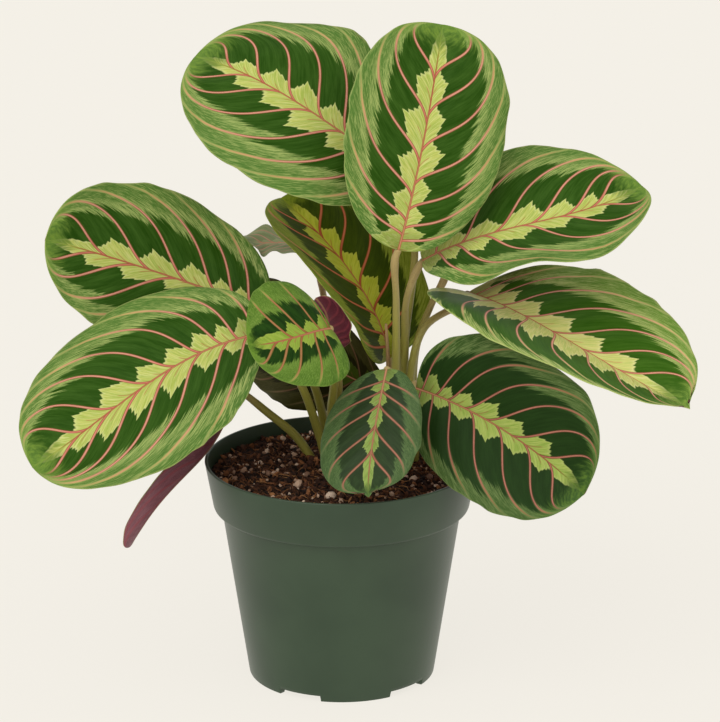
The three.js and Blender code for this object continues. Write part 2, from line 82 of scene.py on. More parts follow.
# Blades and stalks
BLADE_THICKNESS = 0.44
BIG_GRID = (130, 79)
SMALL_GRID = (84, 55)
SMALL_LEAF_HALF_WIDTH = 28.0
SPUR_WIDTH = 0.1
QUILT_HEIGHT = 0.34
SCALLOP = 0.016
EDGE_WANDER = 0.55
NICK_SPACING = 5.5
MARGIN_RUFFLE = 0.5
RUFFLE_SPACING = 7.0
UNEVENNESS = 0.4
UNEVEN_SPACING = 15.0
VEIN_HOOK = 0.09
RIDGE_HEIGHT = 0.9
GROOVE_DEPTH = 0.175
STALK_ROOT_RADIUS = 2.2
STALK_TOP_RADIUS = 1.5
JOINT_LENGTH = 5.0
JOINT_FORWARD = 0.3
STALK_RINGS, STALK_SIDES = 70, 18
SHEATH_ROOT_RADIUS, SHEATH_TOP_RADIUS = 2.1, 0.6

# Light
SURROUND_STRENGTH = 0.7
FLOOR_GLOW = 0.88
FLOOR_REACH = 12.0

# Random heights are drawn on a square of this many cells a side
NOISE_CELLS = 96

# Each leaf's midrib passes through the four points of rib, from base to tip. face is where
# the upper side looks. half is the width of the left and the right half, seen from above
# with the tip pointing away; fold and curl lift each half, twist turns the blade along its
# length, and wave ruffles each margin, with phase and waves for where and how often. ends
# round the base and the tip, with right_base for a right half that differs, and spur is
# the share of the length that narrows to a point. sweep bends the side veins of each half
# forward, and veins says where they leave the midrib. lobes widen the lime middle of each
# half, and later moves the end of its dark green outwards. stalk is its foot and two points
# on the way.
LEAVES = {
    "top_left": dict(
        rib=((26.5, 15, 210.7), (-2.5, 11.5, 232.1), (-30, 21, 247.6), (-60.2, 40.5, 255.3)),
        face=(0.16, -0.7, 0.7), half=(41.1, 43.8), ends=(0.575, 0.5), fold=(4, 0),
        curl=(-13, -7), twist=-2, wave=(-0.8, 2.5), phase=(10, 124), waves=1.8,
        sweep=((1.3, 4), (0.8, 3)),
        veins=((0.06, 0.12, 0.2, 0.325, 0.48, 0.64, 0.78),
               (0.09, 0.185, 0.29, 0.42, 0.565, 0.715, 0.855)),
        lobes=(1.0, 0.9), later=(-0.05, 0.03),
        stalk=((21, 23), (27, 21, 143.1), (30.5, 17, 178.1)),
    ),
    "top_centre": dict(
        rib=((23.2, -14, 187.5), (30.5, -9.5, 217.6), (36.5, -1, 247.6), (41.2, 11, 274.8)),
        face=(0.13, -0.96, 0.25), half=(33.8, 33.5), ends=(0.487, 0.415), fold=(11, 6),
        curl=(-4, -18), twist=1, wave=(0.5, 1.3), phase=(100, 180), waves=2.25,
        sweep=((1.1, 2.5), (0.8, 2.5)),
        veins=((0.075, 0.14, 0.255, 0.41, 0.585, 0.77),
               (0.045, 0.105, 0.195, 0.315, 0.465, 0.625, 0.785)),
        lobes=(1.1, 0.9),
        stalk=((21.2, 9), (22.6, 5.5, 132.1), (22.5, -4, 163.1)),
    ),
    "upper_right": dict(
        rib=((33.3, 3.5, 177.8), (63, -2.5, 191.6), (93.5, -3.5, 199.6), (123, 4.8, 208.9)),
        face=(-0.25, -0.56, 0.79), half=(37.1, 32.6), ends=(0.49, 0.485), fold=(8, 12),
        curl=(0, 8), twist=-4, wave=(-1.8, 3.6), phase=(-70, 100), waves=2.05,
        sweep=((1.1, 5), (1, 4)),
        veins=((0.065, 0.195, 0.355, 0.525, 0.68, 0.785),
               (0.08, 0.165, 0.295, 0.48, 0.65, 0.82)),
        lobes=(0.9, 1.0),
        stalk=((25.5, 17), (26.5, 14, 136.1), (27, 8, 160.1)),
    ),
    "right": dict(
        rib=((53, 26, 157.6), (77.5, -0.5, 154.1), (107, -23.5, 142.6), (140.2, -42.7, 129)),
        face=(0.14, -0.25, 0.96), half=(43, 43), ends=(0.455, 0.425), fold=(13, 25),
        curl=(3, -18), twist=2, wave=(-0.8, -0.7), phase=(-110, 10), waves=2.7,
        sweep=((0.9, 3.5), (0.5, 1)), spur=0.02, right_base=0.32,
        veins=((0.05, 0.11, 0.205, 0.33, 0.47, 0.61, 0.75),
               (0.155, 0.225, 0.335, 0.46, 0.595, 0.705, 0.835)),
        lobes=(1.0, 2.2), later=(0.0, 0.3),
        stalk=((31, 12), (29, 11, 127.1), (34.8, 16, 145.6)),
    ),
    "lower_right": dict(
        rib=((30.7, -9.5, 127.2), (54.5, -26, 121.6), (77.5, -41.5, 111.1), (97.3, -57.5, 98)),
        face=(-0.52, -0.84, 0.15), half=(38, 31.6), ends=(0.44, 0.39), fold=(4, 31),
        curl=(8, 0), twist=-2, wave=(2.3, 0.3), phase=(78, -35), waves=1.95,
        sweep=((1.3, 3), (0.9, 2)),
        veins=((0.035, 0.12, 0.19, 0.295, 0.42, 0.575, 0.735),
               (0.03, 0.1, 0.195, 0.325, 0.48, 0.645, 0.785)),
        stalk=((26, 5), (25, 4, 104.1), (27.5, 2, 116.1)),
    ),
    "small_front": dict(
        rib=((18.4, -22.5, 139.5), (14.6, -38, 125.4), (11.6, -52, 110.7), (10.8, -65, 99.5)),
        face=(-0.27, -0.65, 0.71), half=(19.8, 22.8), ends=(0.49, 0.44), fold=(8, 4),
        curl=(-17, -16), twist=7, wave=(0.9, -0.1), phase=(-27, 112), waves=2.35,
        sweep=((1.2, 0.8), (1.2, 0.8)),
        veins=((0.095, 0.17, 0.275, 0.44, 0.62), (0.095, 0.17, 0.275, 0.44, 0.62)), spur=0.05,
        stalk=((16.5, 5.5), (20, 0, 108.1), (20.5, -12, 127.1)),
    ),
    "small_centre": dict(
        rib=((-4.2, -25, 157.6), (-13, -36.5, 159.1), (-24.5, -46, 158.6), (-37, -52.5, 159.1)),
        face=(0.5, -0.53, 0.68), half=(24, 26.6), ends=(0.37, 0.47), fold=(10, 2),
        curl=(-10, -13), twist=-6, wave=(0.1, 0.3), phase=(10, 120), waves=2.5,
        sweep=((1.1, 0.5), (0.9, 0)),
        veins=((0.155, 0.27, 0.435, 0.575, 0.72), (0.03, 0.18, 0.365, 0.54)),
        stalk=((1.5, 16), (-4, 10, 107.1), (-3, -6, 130.1)),
    ),
    "upper_left": dict(
        rib=((-30.8, 23, 151), (-63, 23.5, 162.6), (-93, 16.5, 175.1), (-121.1, 4.5, 186.9)),
        face=(0.33, -0.87, 0.37), half=(31.3, 35), ends=(0.485, 0.46), fold=(9, 4),
        curl=(-8, -13), twist=10, wave=(-1.4, -1.4), phase=(31, 154), waves=2.5,
        sweep=((1.7, 2), (1.1, 2.5)),
        veins=((0.065, 0.195, 0.3, 0.425, 0.615, 0.795),
               (0.08, 0.145, 0.235, 0.375, 0.55, 0.745)),
        lobes=(0.85, 0.85),
        stalk=((-5, 24), (-8, 20, 106.1), (-13, 15, 125.1)),
    ),
    "lower_left": dict(
        rib=((-31.8, -21.5, 154.5), (-66.5, -28, 143.1), (-95.5, -44, 126.6),
             (-123.1, -61.5, 111.2)),
        face=(0, -0.73, 0.68), half=(36, 38.9), ends=(0.42, 0.485), fold=(8, 3),
        curl=(-11, -24), twist=3.5, wave=(0, 0.7), phase=(0, 120), waves=2.65,
        sweep=((1.7, 7.5), (0.7, 2)),
        veins=((0.06, 0.135, 0.25, 0.385, 0.525, 0.67, 0.815),
               (0.03, 0.095, 0.16, 0.25, 0.365, 0.48, 0.64, 0.775)),
        stalk=((-5, 17), (-10, 10, 103.1), (-18, -8, 131.1)),
    ),
    "centre_back": dict(
        rib=((20.2, 28, 128.2), (10.5, 32, 154.1), (-6.5, 43, 175.1), (-25.5, 59.5, 189.7)),
        face=(0.43, -0.65, 0.63), half=(31, 32), ends=(0.4, 0.485), fold=(21, 10),
        curl=(16, -2), twist=14, wave=(-0.6, -1.2), phase=(43, 123), waves=2.5,
        sweep=((1.1, 1.5), (0.8, 2)),
        veins=((0.065, 0.13, 0.24, 0.385, 0.6, 0.75), (0.14, 0.27, 0.415, 0.57, 0.72)),
        stalk=((14, 18), (14, 19, 104.1), (16, 23, 117.1)),
    ),
    "rolled_left": dict(
        rib=((-46.5, 17, 114.1), (-56, 7, 95.1), (-70, -16, 86.1), (-87, -24, 63.6)),
        face=(0.15, -0.93, 0.35), half=(11, 7), ends=(0.35, 0.25), fold=(112, 20),
        curl=(60, 25), twist=0, wave=(1.5, 1), phase=(0, 120), waves=2.5,
        stalk=((-10, 20), (-18.5, 20, 95.6), (-30, 19.5, 106.3)),
    ),
    "far_back": dict(
        rib=((-8.8, 52.5, 162.6), (-18, 59.5, 169.1), (-29.5, 64, 168.6), (-40.5, 62.5, 170.4)),
        face=(0.17, -0.19, 0.97), half=(12.2, 13.6), ends=(0.45, 0.38), fold=(8, 5),
        curl=(-11, -17), twist=6, wave=(-1, 3.5), phase=(107, 94), waves=2.6,
        stalk=((-3, 34), (-5, 50, 103.1), (-5, 58, 129.1)),
    ),
    "curled_centre": dict(
        rib=((-3, 1.5, 139.6), (-5, 1, 148.1), (-6, 0, 155.6), (-10.4, -2.5, 163.8)),
        face=(-0.17, 0.98, 0.1), half=(13.5, 13), ends=(0.455, 0.45), fold=(-19, -20),
        curl=(-64, -70), twist=0, wave=(0.6, 0), phase=(-15, 120), waves=2.2,
        stalk=((3, 22), (-2, 18, 104.1), (-1, 8, 123.1)),
    ),
    "low_back": dict(
        rib=((18.4, 34.5, 111.1), (-7, 40, 122.1), (-27.5, 52, 130.1), (-44.2, 72, 130.6)),
        face=(-0.52, -0.86, 0), half=(27.5, 26.8), ends=(0.565, 0.39), fold=(7, 11),
        curl=(-12, -6), twist=-2, wave=(1, -1.2), phase=(74, 183), waves=2.35,
        stalk=((15.5, 26), (17, 36, 94.1), (19, 44, 101.1)),
    ),
    "back_right": dict(
        rib=((44, 24, 169.6), (59, 47, 177.6), (76, 69, 182.6), (93, 88, 183.6)),
        face=(-0.1, -0.35, 0.95), half=(27, 27), ends=(0.47, 0.47), fold=(8, 8),
        curl=(-12, -12), twist=0, wave=(1, 1), phase=(0, 120), waves=2.5,
        stalk=((31, 20), (31, 22, 133.1), (38, 23, 154.1)),
    ),
}
USUAL_SWEEP = ((1.1, 2), (0.9, 2))
USUAL_VEINS = ((0.07, 0.15, 0.26, 0.4, 0.56, 0.74), (0.05, 0.12, 0.21, 0.34, 0.49, 0.66, 0.8))
DRY_SHEATH = ((19, 14, 81.6), (19.8, 13.5, 109.1), (19.6, 13, 129.1), (18.6, 12.5, 148.1))


# Meshes from arrays
def piece_from(name, points, faces, materials, replaced=(), values=None, uvs=None,
               face_slots=None):
    """A smooth-shaded mesh object from points in millimetres and a list of faces. values are
    one number a point each, uvs one pair a face corner each."""
    mesh = bpy.data.meshes.new(name)
    mesh.from_pydata((np.asarray(points) * MM).tolist(), [], faces)
    mesh.polygons.foreach_set("use_smooth", np.ones(len(faces), dtype=bool))
    for key, numbers in (values or {}).items():
        layer = mesh.attributes.new(key, "FLOAT", "POINT")
        layer.data.foreach_set("value", np.asarray(numbers, dtype=np.float32).ravel())
    for key, pairs in (uvs or {}).items():
        layer = mesh.uv_layers.new(name=key)
        layer.data.foreach_set("uv", np.asarray(pairs, dtype=np.float32).ravel())
    for material in materials:
        mesh.materials.append(material)
    if face_slots is not None:
        mesh.polygons.foreach_set("material_index", np.asarray(face_slots, dtype=np.int32))
    mesh.validate()
    mesh.update()
    piece = bpy.data.objects.new(name, mesh)
    bpy.context.scene.collection.objects.link(piece)
    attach(piece, "root")
    if replaced:
        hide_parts(*replaced)


def unit(vectors):
    """The vectors shortened or stretched to length one"""
    return vectors / np.linalg.norm(vectors, axis=-1, keepdims=True)


def ring_faces(rings, sides):
    """Faces of rings of points, closed round each ring and capped at both ends by a point
    of its own, the first and the last point of the mesh."""
    index = 1 + np.arange(rings * sides).reshape(rings, sides)
    beside = np.roll(index, -1, axis=1)
    quads = np.stack([index[:-1], beside[:-1], beside[1:], index[1:]], axis=-1).reshape(-1, 4)
    first = np.stack([np.zeros(sides, int), beside[0], index[0]], axis=-1)
    last = np.stack([np.full(sides, rings * sides + 1), index[-1], beside[-1]], axis=-1)
    return quads.tolist() + first.tolist() + last.tolist()


def noise_field(x, y, cell, seed):
    """Smooth random heights from -1 to 1: a lattice of random numbers, cell apart, blended
    between its corners."""
    lattice = np.random.default_rng(seed).uniform(-1, 1, (NOISE_CELLS + 1, NOISE_CELLS + 1))
    gx, gy = x / cell + NOISE_CELLS / 2, y / cell + NOISE_CELLS / 2
    i, j = np.floor(gx).astype(int), np.floor(gy).astype(int)
    fx, fy = gx - i, gy - j
    fx, fy = fx * fx * (3 - 2 * fx), fy * fy * (3 - 2 * fy)
    i, j = i % NOISE_CELLS, j % NOISE_CELLS
    low = lattice[i, j] * (1 - fx) + lattice[i + 1, j] * fx
    high = lattice[i, j + 1] * (1 - fx) + lattice[i + 1, j + 1] * fx
    return low * (1 - fy) + high * fy


# Shader nodes
class Nodes:
    """Adds shader nodes to one material, each call giving back the socket to go on with"""

    def __init__(self, name):
        self.material = bpy.data.materials.new(name)
        self.material.use_nodes = True
        self.tree = self.material.node_tree
        self.shader = self.tree.nodes["Principled BSDF"].inputs

    def feed(self, sockets, values):
        """Links or sets sockets, picked by name or number"""
        for key, value in dict(values).items():
            socket = sockets[key]
            if isinstance(value, bpy.types.NodeSocket):
                self.tree.links.new(value, socket)
            elif isinstance(value, tuple) and len(value) == 3 and len(socket.default_value) == 4:
                socket.default_value = (*value, 1.0)
            else:
                socket.default_value = value

    def add(self, kind, values=(), output=0, **settings):
        node = self.tree.nodes.new("ShaderNode" + kind)
        for key, value in settings.items():
            setattr(node, key, value)
        self.feed(node.inputs, values)
        return node.outputs[output]

    def math(self, operation, *values):
        return self.add("Math", enumerate(values), operation=operation)

    def times(self, first, *others):
        for other in others:
            first = self.math("MULTIPLY", first, other)
        return first

    def less(self, value, most):
        """1 less the value times most"""
        return self.math("MULTIPLY_ADD", value, -most, 1.0)

    def stray(self, noise, reach, value):
        """The value moved by up to half the reach either way, as the noise says"""
        return self.math("MULTIPLY_ADD", self.math("SUBTRACT", noise, 0.5), reach, value)

    def step(self, value, low, high):
        """0 at low, 1 at high, smooth between, where low may be the greater"""
        values = {"Value": value, "From Min": low, "From Max": high}
        return self.add("MapRange", values, interpolation_type="SMOOTHSTEP")

    def mix(self, share, first, second, most=1.0):
        """first with the share of second laid over it, of which most is the full amount"""
        share = share if most == 1.0 else self.times(share, most)
        return self.add("Mix", {0: share, 6: first, 7: second}, 2, data_type="RGBA")

    def curve(self, value, points, handles="AUTO"):
        result = self.add("FloatCurve", {"Value": value})
        mapping = result.node.mapping
        line = mapping.curves[0].points
        line[0].location = points[0]
        line[1].location = points[-1]
        for point in points[1:-1]:
            line.new(*point)
        for point in line:
            point.handle_type = handles
        mapping.update()
        return result

    def ramp(self, value, stops):
        result = self.add("ValToRGB", {0: value})
        steps = result.node.color_ramp.elements
        for k, (place, tint) in enumerate(stops):
            stop = steps[k] if k < 2 else steps.new(place)
            stop.position = place
            stop.color = (*colour(*tint), 1.0)
        return result

    def uv(self, name):
        parts = self.add("SeparateXYZ", {0: self.add("UVMap", uv_map=name)}).node.outputs
        return parts[0], parts[1]

    def value(self, name):
        return self.add("Attribute", output="Fac", attribute_name=name)

    def place(self):
        return self.add("TexCoord", output="Object")

    def join(self, x, y):
        return self.add("CombineXYZ", {0: x, 1: y})

    def noise(self, where, scale, detail=2.0, roughness=0.5):
        values = {"Vector": where, "Scale": scale, "Detail": detail, "Roughness": roughness}
        return self.add("TexNoise", values, "Fac")

    def bump(self, height, depth, strength):
        values = {"Height": height, "Distance": depth, "Strength": strength}
        self.feed(self.shader, {"Normal": self.add("Bump", values)})

    def finish(self, tint, roughness, specular):
        self.feed(self.shader, {"Base Color": tint, "Roughness": roughness,
                                "Specular IOR Level": specular})
        return self.material


def colour(red, green, blue):
    """A display colour of 0 to 255 each as the linear numbers that shaders take"""
    shares = [c / 255 for c in (red, green, blue)]
    return tuple(c / 12.92 if c <= 0.04045 else ((c + 0.055) / 1.055) ** 2.4 for c in shares)


def tints(kind=(), **changes):
    """The tints and measures of one kind of blade, from another kind's with some changed.
    Three numbers are a display colour."""
    changed = {key: colour(*value) if isinstance(value, tuple) else value
               for key, value in changes.items()}
    return {**dict(kind), **changed}


# Finishes
LOOK = tints(
    dark=(32, 66, 3), dark_light=(66, 100, 34), edge=(80, 116, 48), streak=(170, 182, 108),
    lime=(182, 188, 98), lime_deep=(134, 160, 58), lime_pale=(206, 210, 142),
    vein=(208, 146, 124), vein_near=(198, 116, 96), vein_rim=(132, 76, 52),
    vein_far=(184, 156, 98), rib=(160, 84, 60), rib_core=(188, 136, 100), tip=(102, 134, 56),
    lobe=1.0, base_lobe=0.85, dark_to=0.6, vein_width=0.78, pale=0.7, gloss=0.06,
)
LEFT_LOOK = tints(LOOK, base_lobe=0.62)
# Painted light: the usual tints made brighter, lifting the right leaf out of the upper right leaf's
# shadow
RIGHT_PAINTED_LIGHT_LOOK = tints(
    LOOK, dark=(44, 84, 6), dark_light=(74, 112, 34), edge=(104, 140, 54), streak=(190, 198, 124),
    lime=(208, 206, 122), lime_deep=(164, 188, 82), lime_pale=(222, 220, 156),
    vein=(222, 158, 134), vein_near=(206, 128, 106), vein_far=(204, 176, 116), rib=(184, 98, 74),
)
# Painted shade: darker, duller tints for the lower right leaf, with its own lobe and vein measures
LOWER_PAINTED_SHADE_LOOK = tints(
    LOOK, dark=(26, 48, 14), dark_light=(38, 64, 24), edge=(62, 88, 38), streak=(120, 138, 84),
    lime=(152, 168, 82), lime_deep=(112, 142, 52), lime_pale=(168, 178, 104), vein=(172, 112, 94),
    vein_near=(168, 100, 82), vein_rim=(92, 58, 42), vein_far=(140, 112, 70), tip=(66, 96, 42),
    rib=(134, 80, 54), lobe=0.84, base_lobe=0.7, dark_to=0.72, vein_width=0.66, pale=0.4,
)
YOUNG_LOOK = tints(
    LOOK, dark=(32, 48, 22), dark_light=(50, 70, 36), edge=(62, 86, 44), streak=(98, 120, 72),
    lime=(132, 154, 72), lime_deep=(98, 126, 52), lime_pale=(146, 164, 92), vein=(160, 108, 86),
    vein_near=(150, 90, 70), vein_rim=(98, 66, 46), vein_far=(110, 106, 68), rib=(140, 92, 68),
    tip=(66, 96, 46), lobe=0.66, base_lobe=1.0, dark_to=0.56, vein_width=0.72, pale=0.35,
    gloss=0.14,
)
MIXED_LOOK = tints(
    LOOK, dark=(20, 46, 8), dark_light=(44, 80, 22), edge=(88, 120, 42), streak=(124, 150, 70),
    lime=(140, 162, 62), lime_deep=(112, 144, 48), lime_pale=(154, 172, 78), vein=(168, 116, 80),
    vein_near=(160, 94, 66), vein_rim=(120, 96, 46), vein_far=(154, 146, 78), rib=(160, 84, 66),
    tip=(96, 130, 44), dark_to=0.48, vein_width=0.72, pale=0.4,
)
# Painted shade and painted light through the blade: darker, yellower tints for the centre back leaf
SHADED_LOOK = tints(
    LOOK, dark=(44, 60, 3), dark_light=(70, 88, 8), edge=(116, 134, 34), streak=(146, 156, 62),
    lime=(174, 180, 54), lime_deep=(140, 154, 34), lime_pale=(180, 184, 74), vein=(186, 108, 72),
    vein_near=(160, 80, 48), vein_rim=(132, 68, 30), vein_far=(184, 136, 84), rib=(156, 80, 46),
    tip=(120, 140, 36), dark_to=0.66, vein_width=0.82, pale=0.4,
)
# Painted shade: dark olive brown tints for the low back leaf, which lies in shadow behind the
# others
LOW_PAINTED_SHADE_LOOK = tints(
    LOOK, dark=(34, 34, 12), dark_light=(50, 48, 20), edge=(62, 62, 26), streak=(78, 76, 40),
    lime=(66, 84, 22), lime_deep=(56, 72, 20), lime_pale=(74, 90, 30), vein=(112, 84, 58),
    vein_near=(104, 70, 46), vein_rim=(70, 52, 32), vein_far=(106, 92, 62), rib=(110, 74, 50),
    tip=(62, 64, 28), vein_width=0.6, pale=0.4,
)
FAR_LOOK = tints(
    LOOK, dark=(122, 136, 92), dark_light=(136, 148, 104), edge=(128, 142, 96),
    streak=(160, 168, 128), lime=(146, 156, 110), lime_deep=(136, 148, 102),
    lime_pale=(154, 162, 118), vein=(186, 146, 120), vein_near=(190, 132, 108),
    vein_rim=(152, 132, 98), vein_far=(166, 150, 116), rib=(200, 136, 110), tip=(128, 144, 96),
    vein_width=0.6, pale=0.4,
)

# Where the lime middle ends, over one cell from its lower to its upper side vein: teeth
# that rise to a point and fall again
LOBE_EDGE = [(0.0, 0.165), (0.07, 0.2), (0.11, 0.185), (0.22, 0.24), (0.27, 0.222),
             (0.4, 0.29), (0.49, 0.218), (0.54, 0.228), (0.66, 0.165), (0.71, 0.176),
             (0.84, 0.118), (0.89, 0.124), (1.0, 0.1)]


def blade_finish(name, look=LOOK):
    """The upper side: a lime middle with a toothed lobe in each cell between side veins,
    dark green beyond it, a streaked pale band, a mid green margin, and salmon veins."""
    n = Nodes(name)
    count, u = n.uv("veins")
    reach = n.value("reach")
    gap = n.value("gap")
    length = n.value("length")
    from_midrib = n.value("from_midrib")
    cell = n.math("FRACT", count)
    near_vein = n.times(n.math("PINGPONG", count, 0.5), gap)
    half_way = n.times(n.math("PINGPONG", n.math("ADD", count, 0.5), 0.5), gap)
    whole = {"W": n.math("FLOOR", count)}
    chance = n.add("TexWhiteNoise", whole, "Value", noise_dimensions="1D")
    luck = n.math("SUBTRACT", chance, 0.5)

    # Streaks run along the veins, so their pattern is fine across them and long beside them
    def streaks(across, along, detail=3.0):
        return n.noise(n.join(n.times(count, across), n.times(u, along)), 1.0, detail, 0.6)

    fine = streaks(17.0, 4.0)
    thin = streaks(36.0, 7.0)
    broad = streaks(4.0, 2.5)
    teeth = streaks(15.0, 9.0)

    at_base = look["base_lobe"]
    shrink = n.curve(length, [(0.0, at_base), (0.06, 0.95 * at_base), (0.12, 0.72 * at_base),
                              (0.2, 0.3 + 0.3 * at_base), (0.62, 0.58), (0.74, 0.48),
                              (0.84, 0.34), (0.91, 0.2), (0.96, 0.06), (1.0, 0.0)])
    edge = n.times(n.curve(cell, LOBE_EDGE, "VECTOR"), shrink, look["lobe"] / 0.6,
                   n.math("MULTIPLY_ADD", luck, 0.36, 1.0))
    inside = n.math("SUBTRACT", n.stray(teeth, 0.045, edge), reach)
    feathered = n.stray(fine, 0.14, length)
    near_base = n.step(feathered, 0.13, 0.03)
    is_lime = n.times(n.step(inside, -0.007, 0.009), n.less(near_base, 0.45),
                      n.less(n.step(feathered, 0.84, 0.95), 0.75))

    # How far out a place counts as, for the end of the dark green
    place = n.stray(broad, 0.22, n.stray(fine, 0.34, u))
    place = n.stray(cell, -0.15, n.math("MULTIPLY_ADD", luck, 0.16, place))
    place = n.math("SUBTRACT", place, n.value("later"))
    start = look["dark_to"]
    shade = n.math("MULTIPLY_ADD", n.step(fine, 0.4, 0.62), 0.22,
                   n.times(n.step(broad, 0.32, 0.72), 0.4))
    green = n.mix(shade, look["dark"], look["dark_light"])
    green = n.mix(n.step(place, start - 0.02, start + 0.08), green, look["edge"])
    band = n.times(n.step(place, start, start + 0.04),
                   n.step(place, start + 0.26, start + 0.08))
    green = n.mix(n.times(band, n.step(thin, 0.42, 0.58)), green, look["streak"], look["pale"])
    speckle = n.step(streaks(26.0, 22.0, 2.0), 0.46, 0.62)
    lines = n.times(speckle, n.step(place, start, start + 0.1))
    green = n.mix(lines, green, look["streak"], 0.5)
    shade_lines = n.times(n.step(thin, 0.54, 0.4), n.step(u, 0.6, 0.8))
    green = n.mix(shade_lines, green, look["dark_light"], 0.5)

    lime = n.mix(n.step(fine, 0.4, 0.6), look["lime"], look["lime_deep"], 0.62)
    lime = n.mix(n.step(thin, 0.48, 0.62), lime, look["lime_pale"], 0.5)
    lime = n.mix(n.step(inside, 0.035, 0.0), lime, look["lime_pale"], 0.55)
    twig_end = n.math("MULTIPLY_ADD", luck, 0.07, 0.1)
    twig = n.times(n.step(half_way, 0.3, 0.1),
                   n.step(n.math("SUBTRACT", twig_end, reach), 0.0, 0.03))
    lime = n.mix(twig, lime, look["rib"], 0.6)
    body = n.mix(is_lime, green, lime)
    tip_tone = n.mix(n.step(fine, 0.4, 0.7), look["tip"], look["lime_deep"], 0.5)
    body = n.mix(n.step(feathered, 0.88, 0.99), body, tip_tone, 0.8)

    # Side veins: a faint pale halo, red edges and a salmon middle, tan and thin at the margin
    thick = n.curve(u, [(0.0, 0.4), (0.08, 0.5), (0.5, 0.48), (0.75, 0.4), (0.92, 0.26),
                        (1.0, 0.15)])
    near = n.math("SUBTRACT", near_vein, n.times(thick, look["vein_width"]))
    halo = n.times(n.step(near, 0.7, 0.1), n.step(u, 0.5, 0.8))
    body = n.mix(halo, body, look["streak"], 0.4)
    vein = n.mix(n.step(u, 0.02, 0.3), look["vein_near"], look["vein"])
    vein = n.mix(n.step(u, 0.6, 0.92), vein, look["vein_far"])
    vein = n.mix(n.step(fine, 0.4, 0.7), vein, look["vein_rim"], 0.3)
    fade_out = n.times(n.less(n.step(u, 0.8, 0.98), 0.92), n.step(length, 0.99, 0.9))
    vein_side = n.mix(n.step(u, 0.6, 0.85), look["vein_rim"], vein)
    body = n.mix(n.times(n.step(near, 0.26, 0.06), fade_out), body, vein_side)
    body = n.mix(n.times(n.step(near, 0.02, -0.16), fade_out), body, vein)

    rib_core = n.step(from_midrib, 0.42, 0.16)
    rib = n.mix(n.times(rib_core, n.math("SUBTRACT", 0.9, length)), look["rib"],
                look["rib_core"])
    rib = n.mix(n.step(length, 0.74, 0.95), rib, look["lime_deep"])
    rib_edge = n.step(from_midrib, 0.68, 0.42)
    body = n.mix(n.times(rib_edge, n.less(n.step(length, 0.84, 0.95), 0.8)), body, rib)
    body = n.mix(n.step(u, 0.982, 0.996), body, look["streak"], 0.5)

    n.bump(fine, 0.0001, 0.6)
    return n.finish(body, n.math("MULTIPLY_ADD", fine, 0.12, 0.38), look["gloss"])


def underside_finish(name, low, high):
    """The lower side: burgundy, greyer between the veins, with a paler midrib"""
    n = Nodes(name)
    count, u = n.uv("veins")
    near_vein = n.times(n.math("PINGPONG", count, 0.5), n.value("gap"))
    fine = n.noise(n.join(n.times(count, 9.0), n.times(u, 1.6)), 5.0, 3.0)
    body = n.mix(n.step(fine, 0.25, 0.75), low, high)
    body = n.mix(n.step(near_vein, 0.7, 0.3), body, colour(140, 62, 70), 0.6)
    body = n.mix(n.step(n.value("from_midrib"), 1.2, 0.7), body, colour(150, 104, 78))
    body = n.mix(n.step(u, 0.97, 0.995), body, colour(160, 130, 96))
    n.bump(fine, 0.00015, 0.5)
    return n.finish(body, 0.4, 0.4)


def stalk_finish(name, low, high):
    """Striped along the stalk's length, and of another colour towards its upper end"""
    n = Nodes(name)
    along, around = n.uv("stalk")
    stripes = n.noise(n.join(n.times(along, 1.5), n.times(around, 14.0)), 3.0)
    spots = n.noise(n.place(), 900.0, 3.0)
    body = n.mix(n.step(along, 0.55, 1.0), low, high)
    body = n.mix(n.step(stripes, 0.35, 0.75), body, colour(104, 98, 44), 0.45)
    body = n.mix(n.step(spots, 0.6, 0.75), body, colour(120, 74, 48), 0.3)
    n.bump(stripes, 0.0003, 0.6)
    return n.finish(body, 0.42, 0.4)


def pot_finish():
    """Dark green moulded plastic, satin, with a faint tone, a fine grain and painted shade inside
    """
    n = Nodes("pot_green_plastic")
    tone = n.noise(n.place(), 30.0, 3.0)
    body = n.mix(n.step(tone, 0.3, 0.7), colour(41, 60, 40), colour(49, 68, 47))
    # Painted shade: the inner wall, which the pot shades, darkened nearly to black
    body = n.mix(n.value("inside"), body, colour(9, 12, 5), 0.85)
    n.bump(n.noise(n.place(), 2600.0, 2.0), 0.00004, 0.4)
    return n.finish(body, n.math("MULTIPLY_ADD", tone, 0.1, 0.33), 0.42)


def mix_finish():
    """Dark peat, from black in the pits to red-brown on the crumbs"""
    n = Nodes("peat_mix")
    crumbs = n.noise(n.place(), 500.0, 4.0, 0.65)
    patches = n.noise(n.place(), 90.0, 2.0)
    # Pits: the peat's dark brown deepened to black by painted shade, following the bump's noise
    body = n.mix(n.step(crumbs, 0.4, 0.7), colour(13, 9, 6), colour(88, 57, 38))
    body = n.mix(n.step(patches, 0.5, 0.8), body, colour(40, 24, 16), 0.4)
    n.bump(crumbs, 0.0012, 0.8)
    return n.finish(body, 0.9, 0.2)


def tone_finish(name, stops, scale, roughness):
    """Pieces of one kind in a range of display colours, by each piece's own tone"""
    n = Nodes(name)
    speck = n.noise(n.place(), scale, 3.0, 0.6)
    n.bump(speck, 0.0003, 0.6)
    return n.finish(n.ramp(n.stray(speck, 0.5, n.value("tone")), stops), roughness, 0.25)


# Pot
def lift_round(angles):
    """How far the pot's lower edge is raised: 0 on a foot, 1 in a notch, by a short ramp"""
    period = 360.0 / FOOT_COUNT
    from_foot = np.abs((angles - FIRST_FOOT_ANGLE + period / 2) % period - period / 2)
    foot_half = (period - NOTCH_ANGLE) / 2
    return np.clip((from_foot - foot_half) / 0.5 + 0.5, 0, 1)


def circle(sides):
    """The turns of points spread evenly round a ring"""
    return np.linspace(0, 2 * np.pi, sides, endpoint=False)


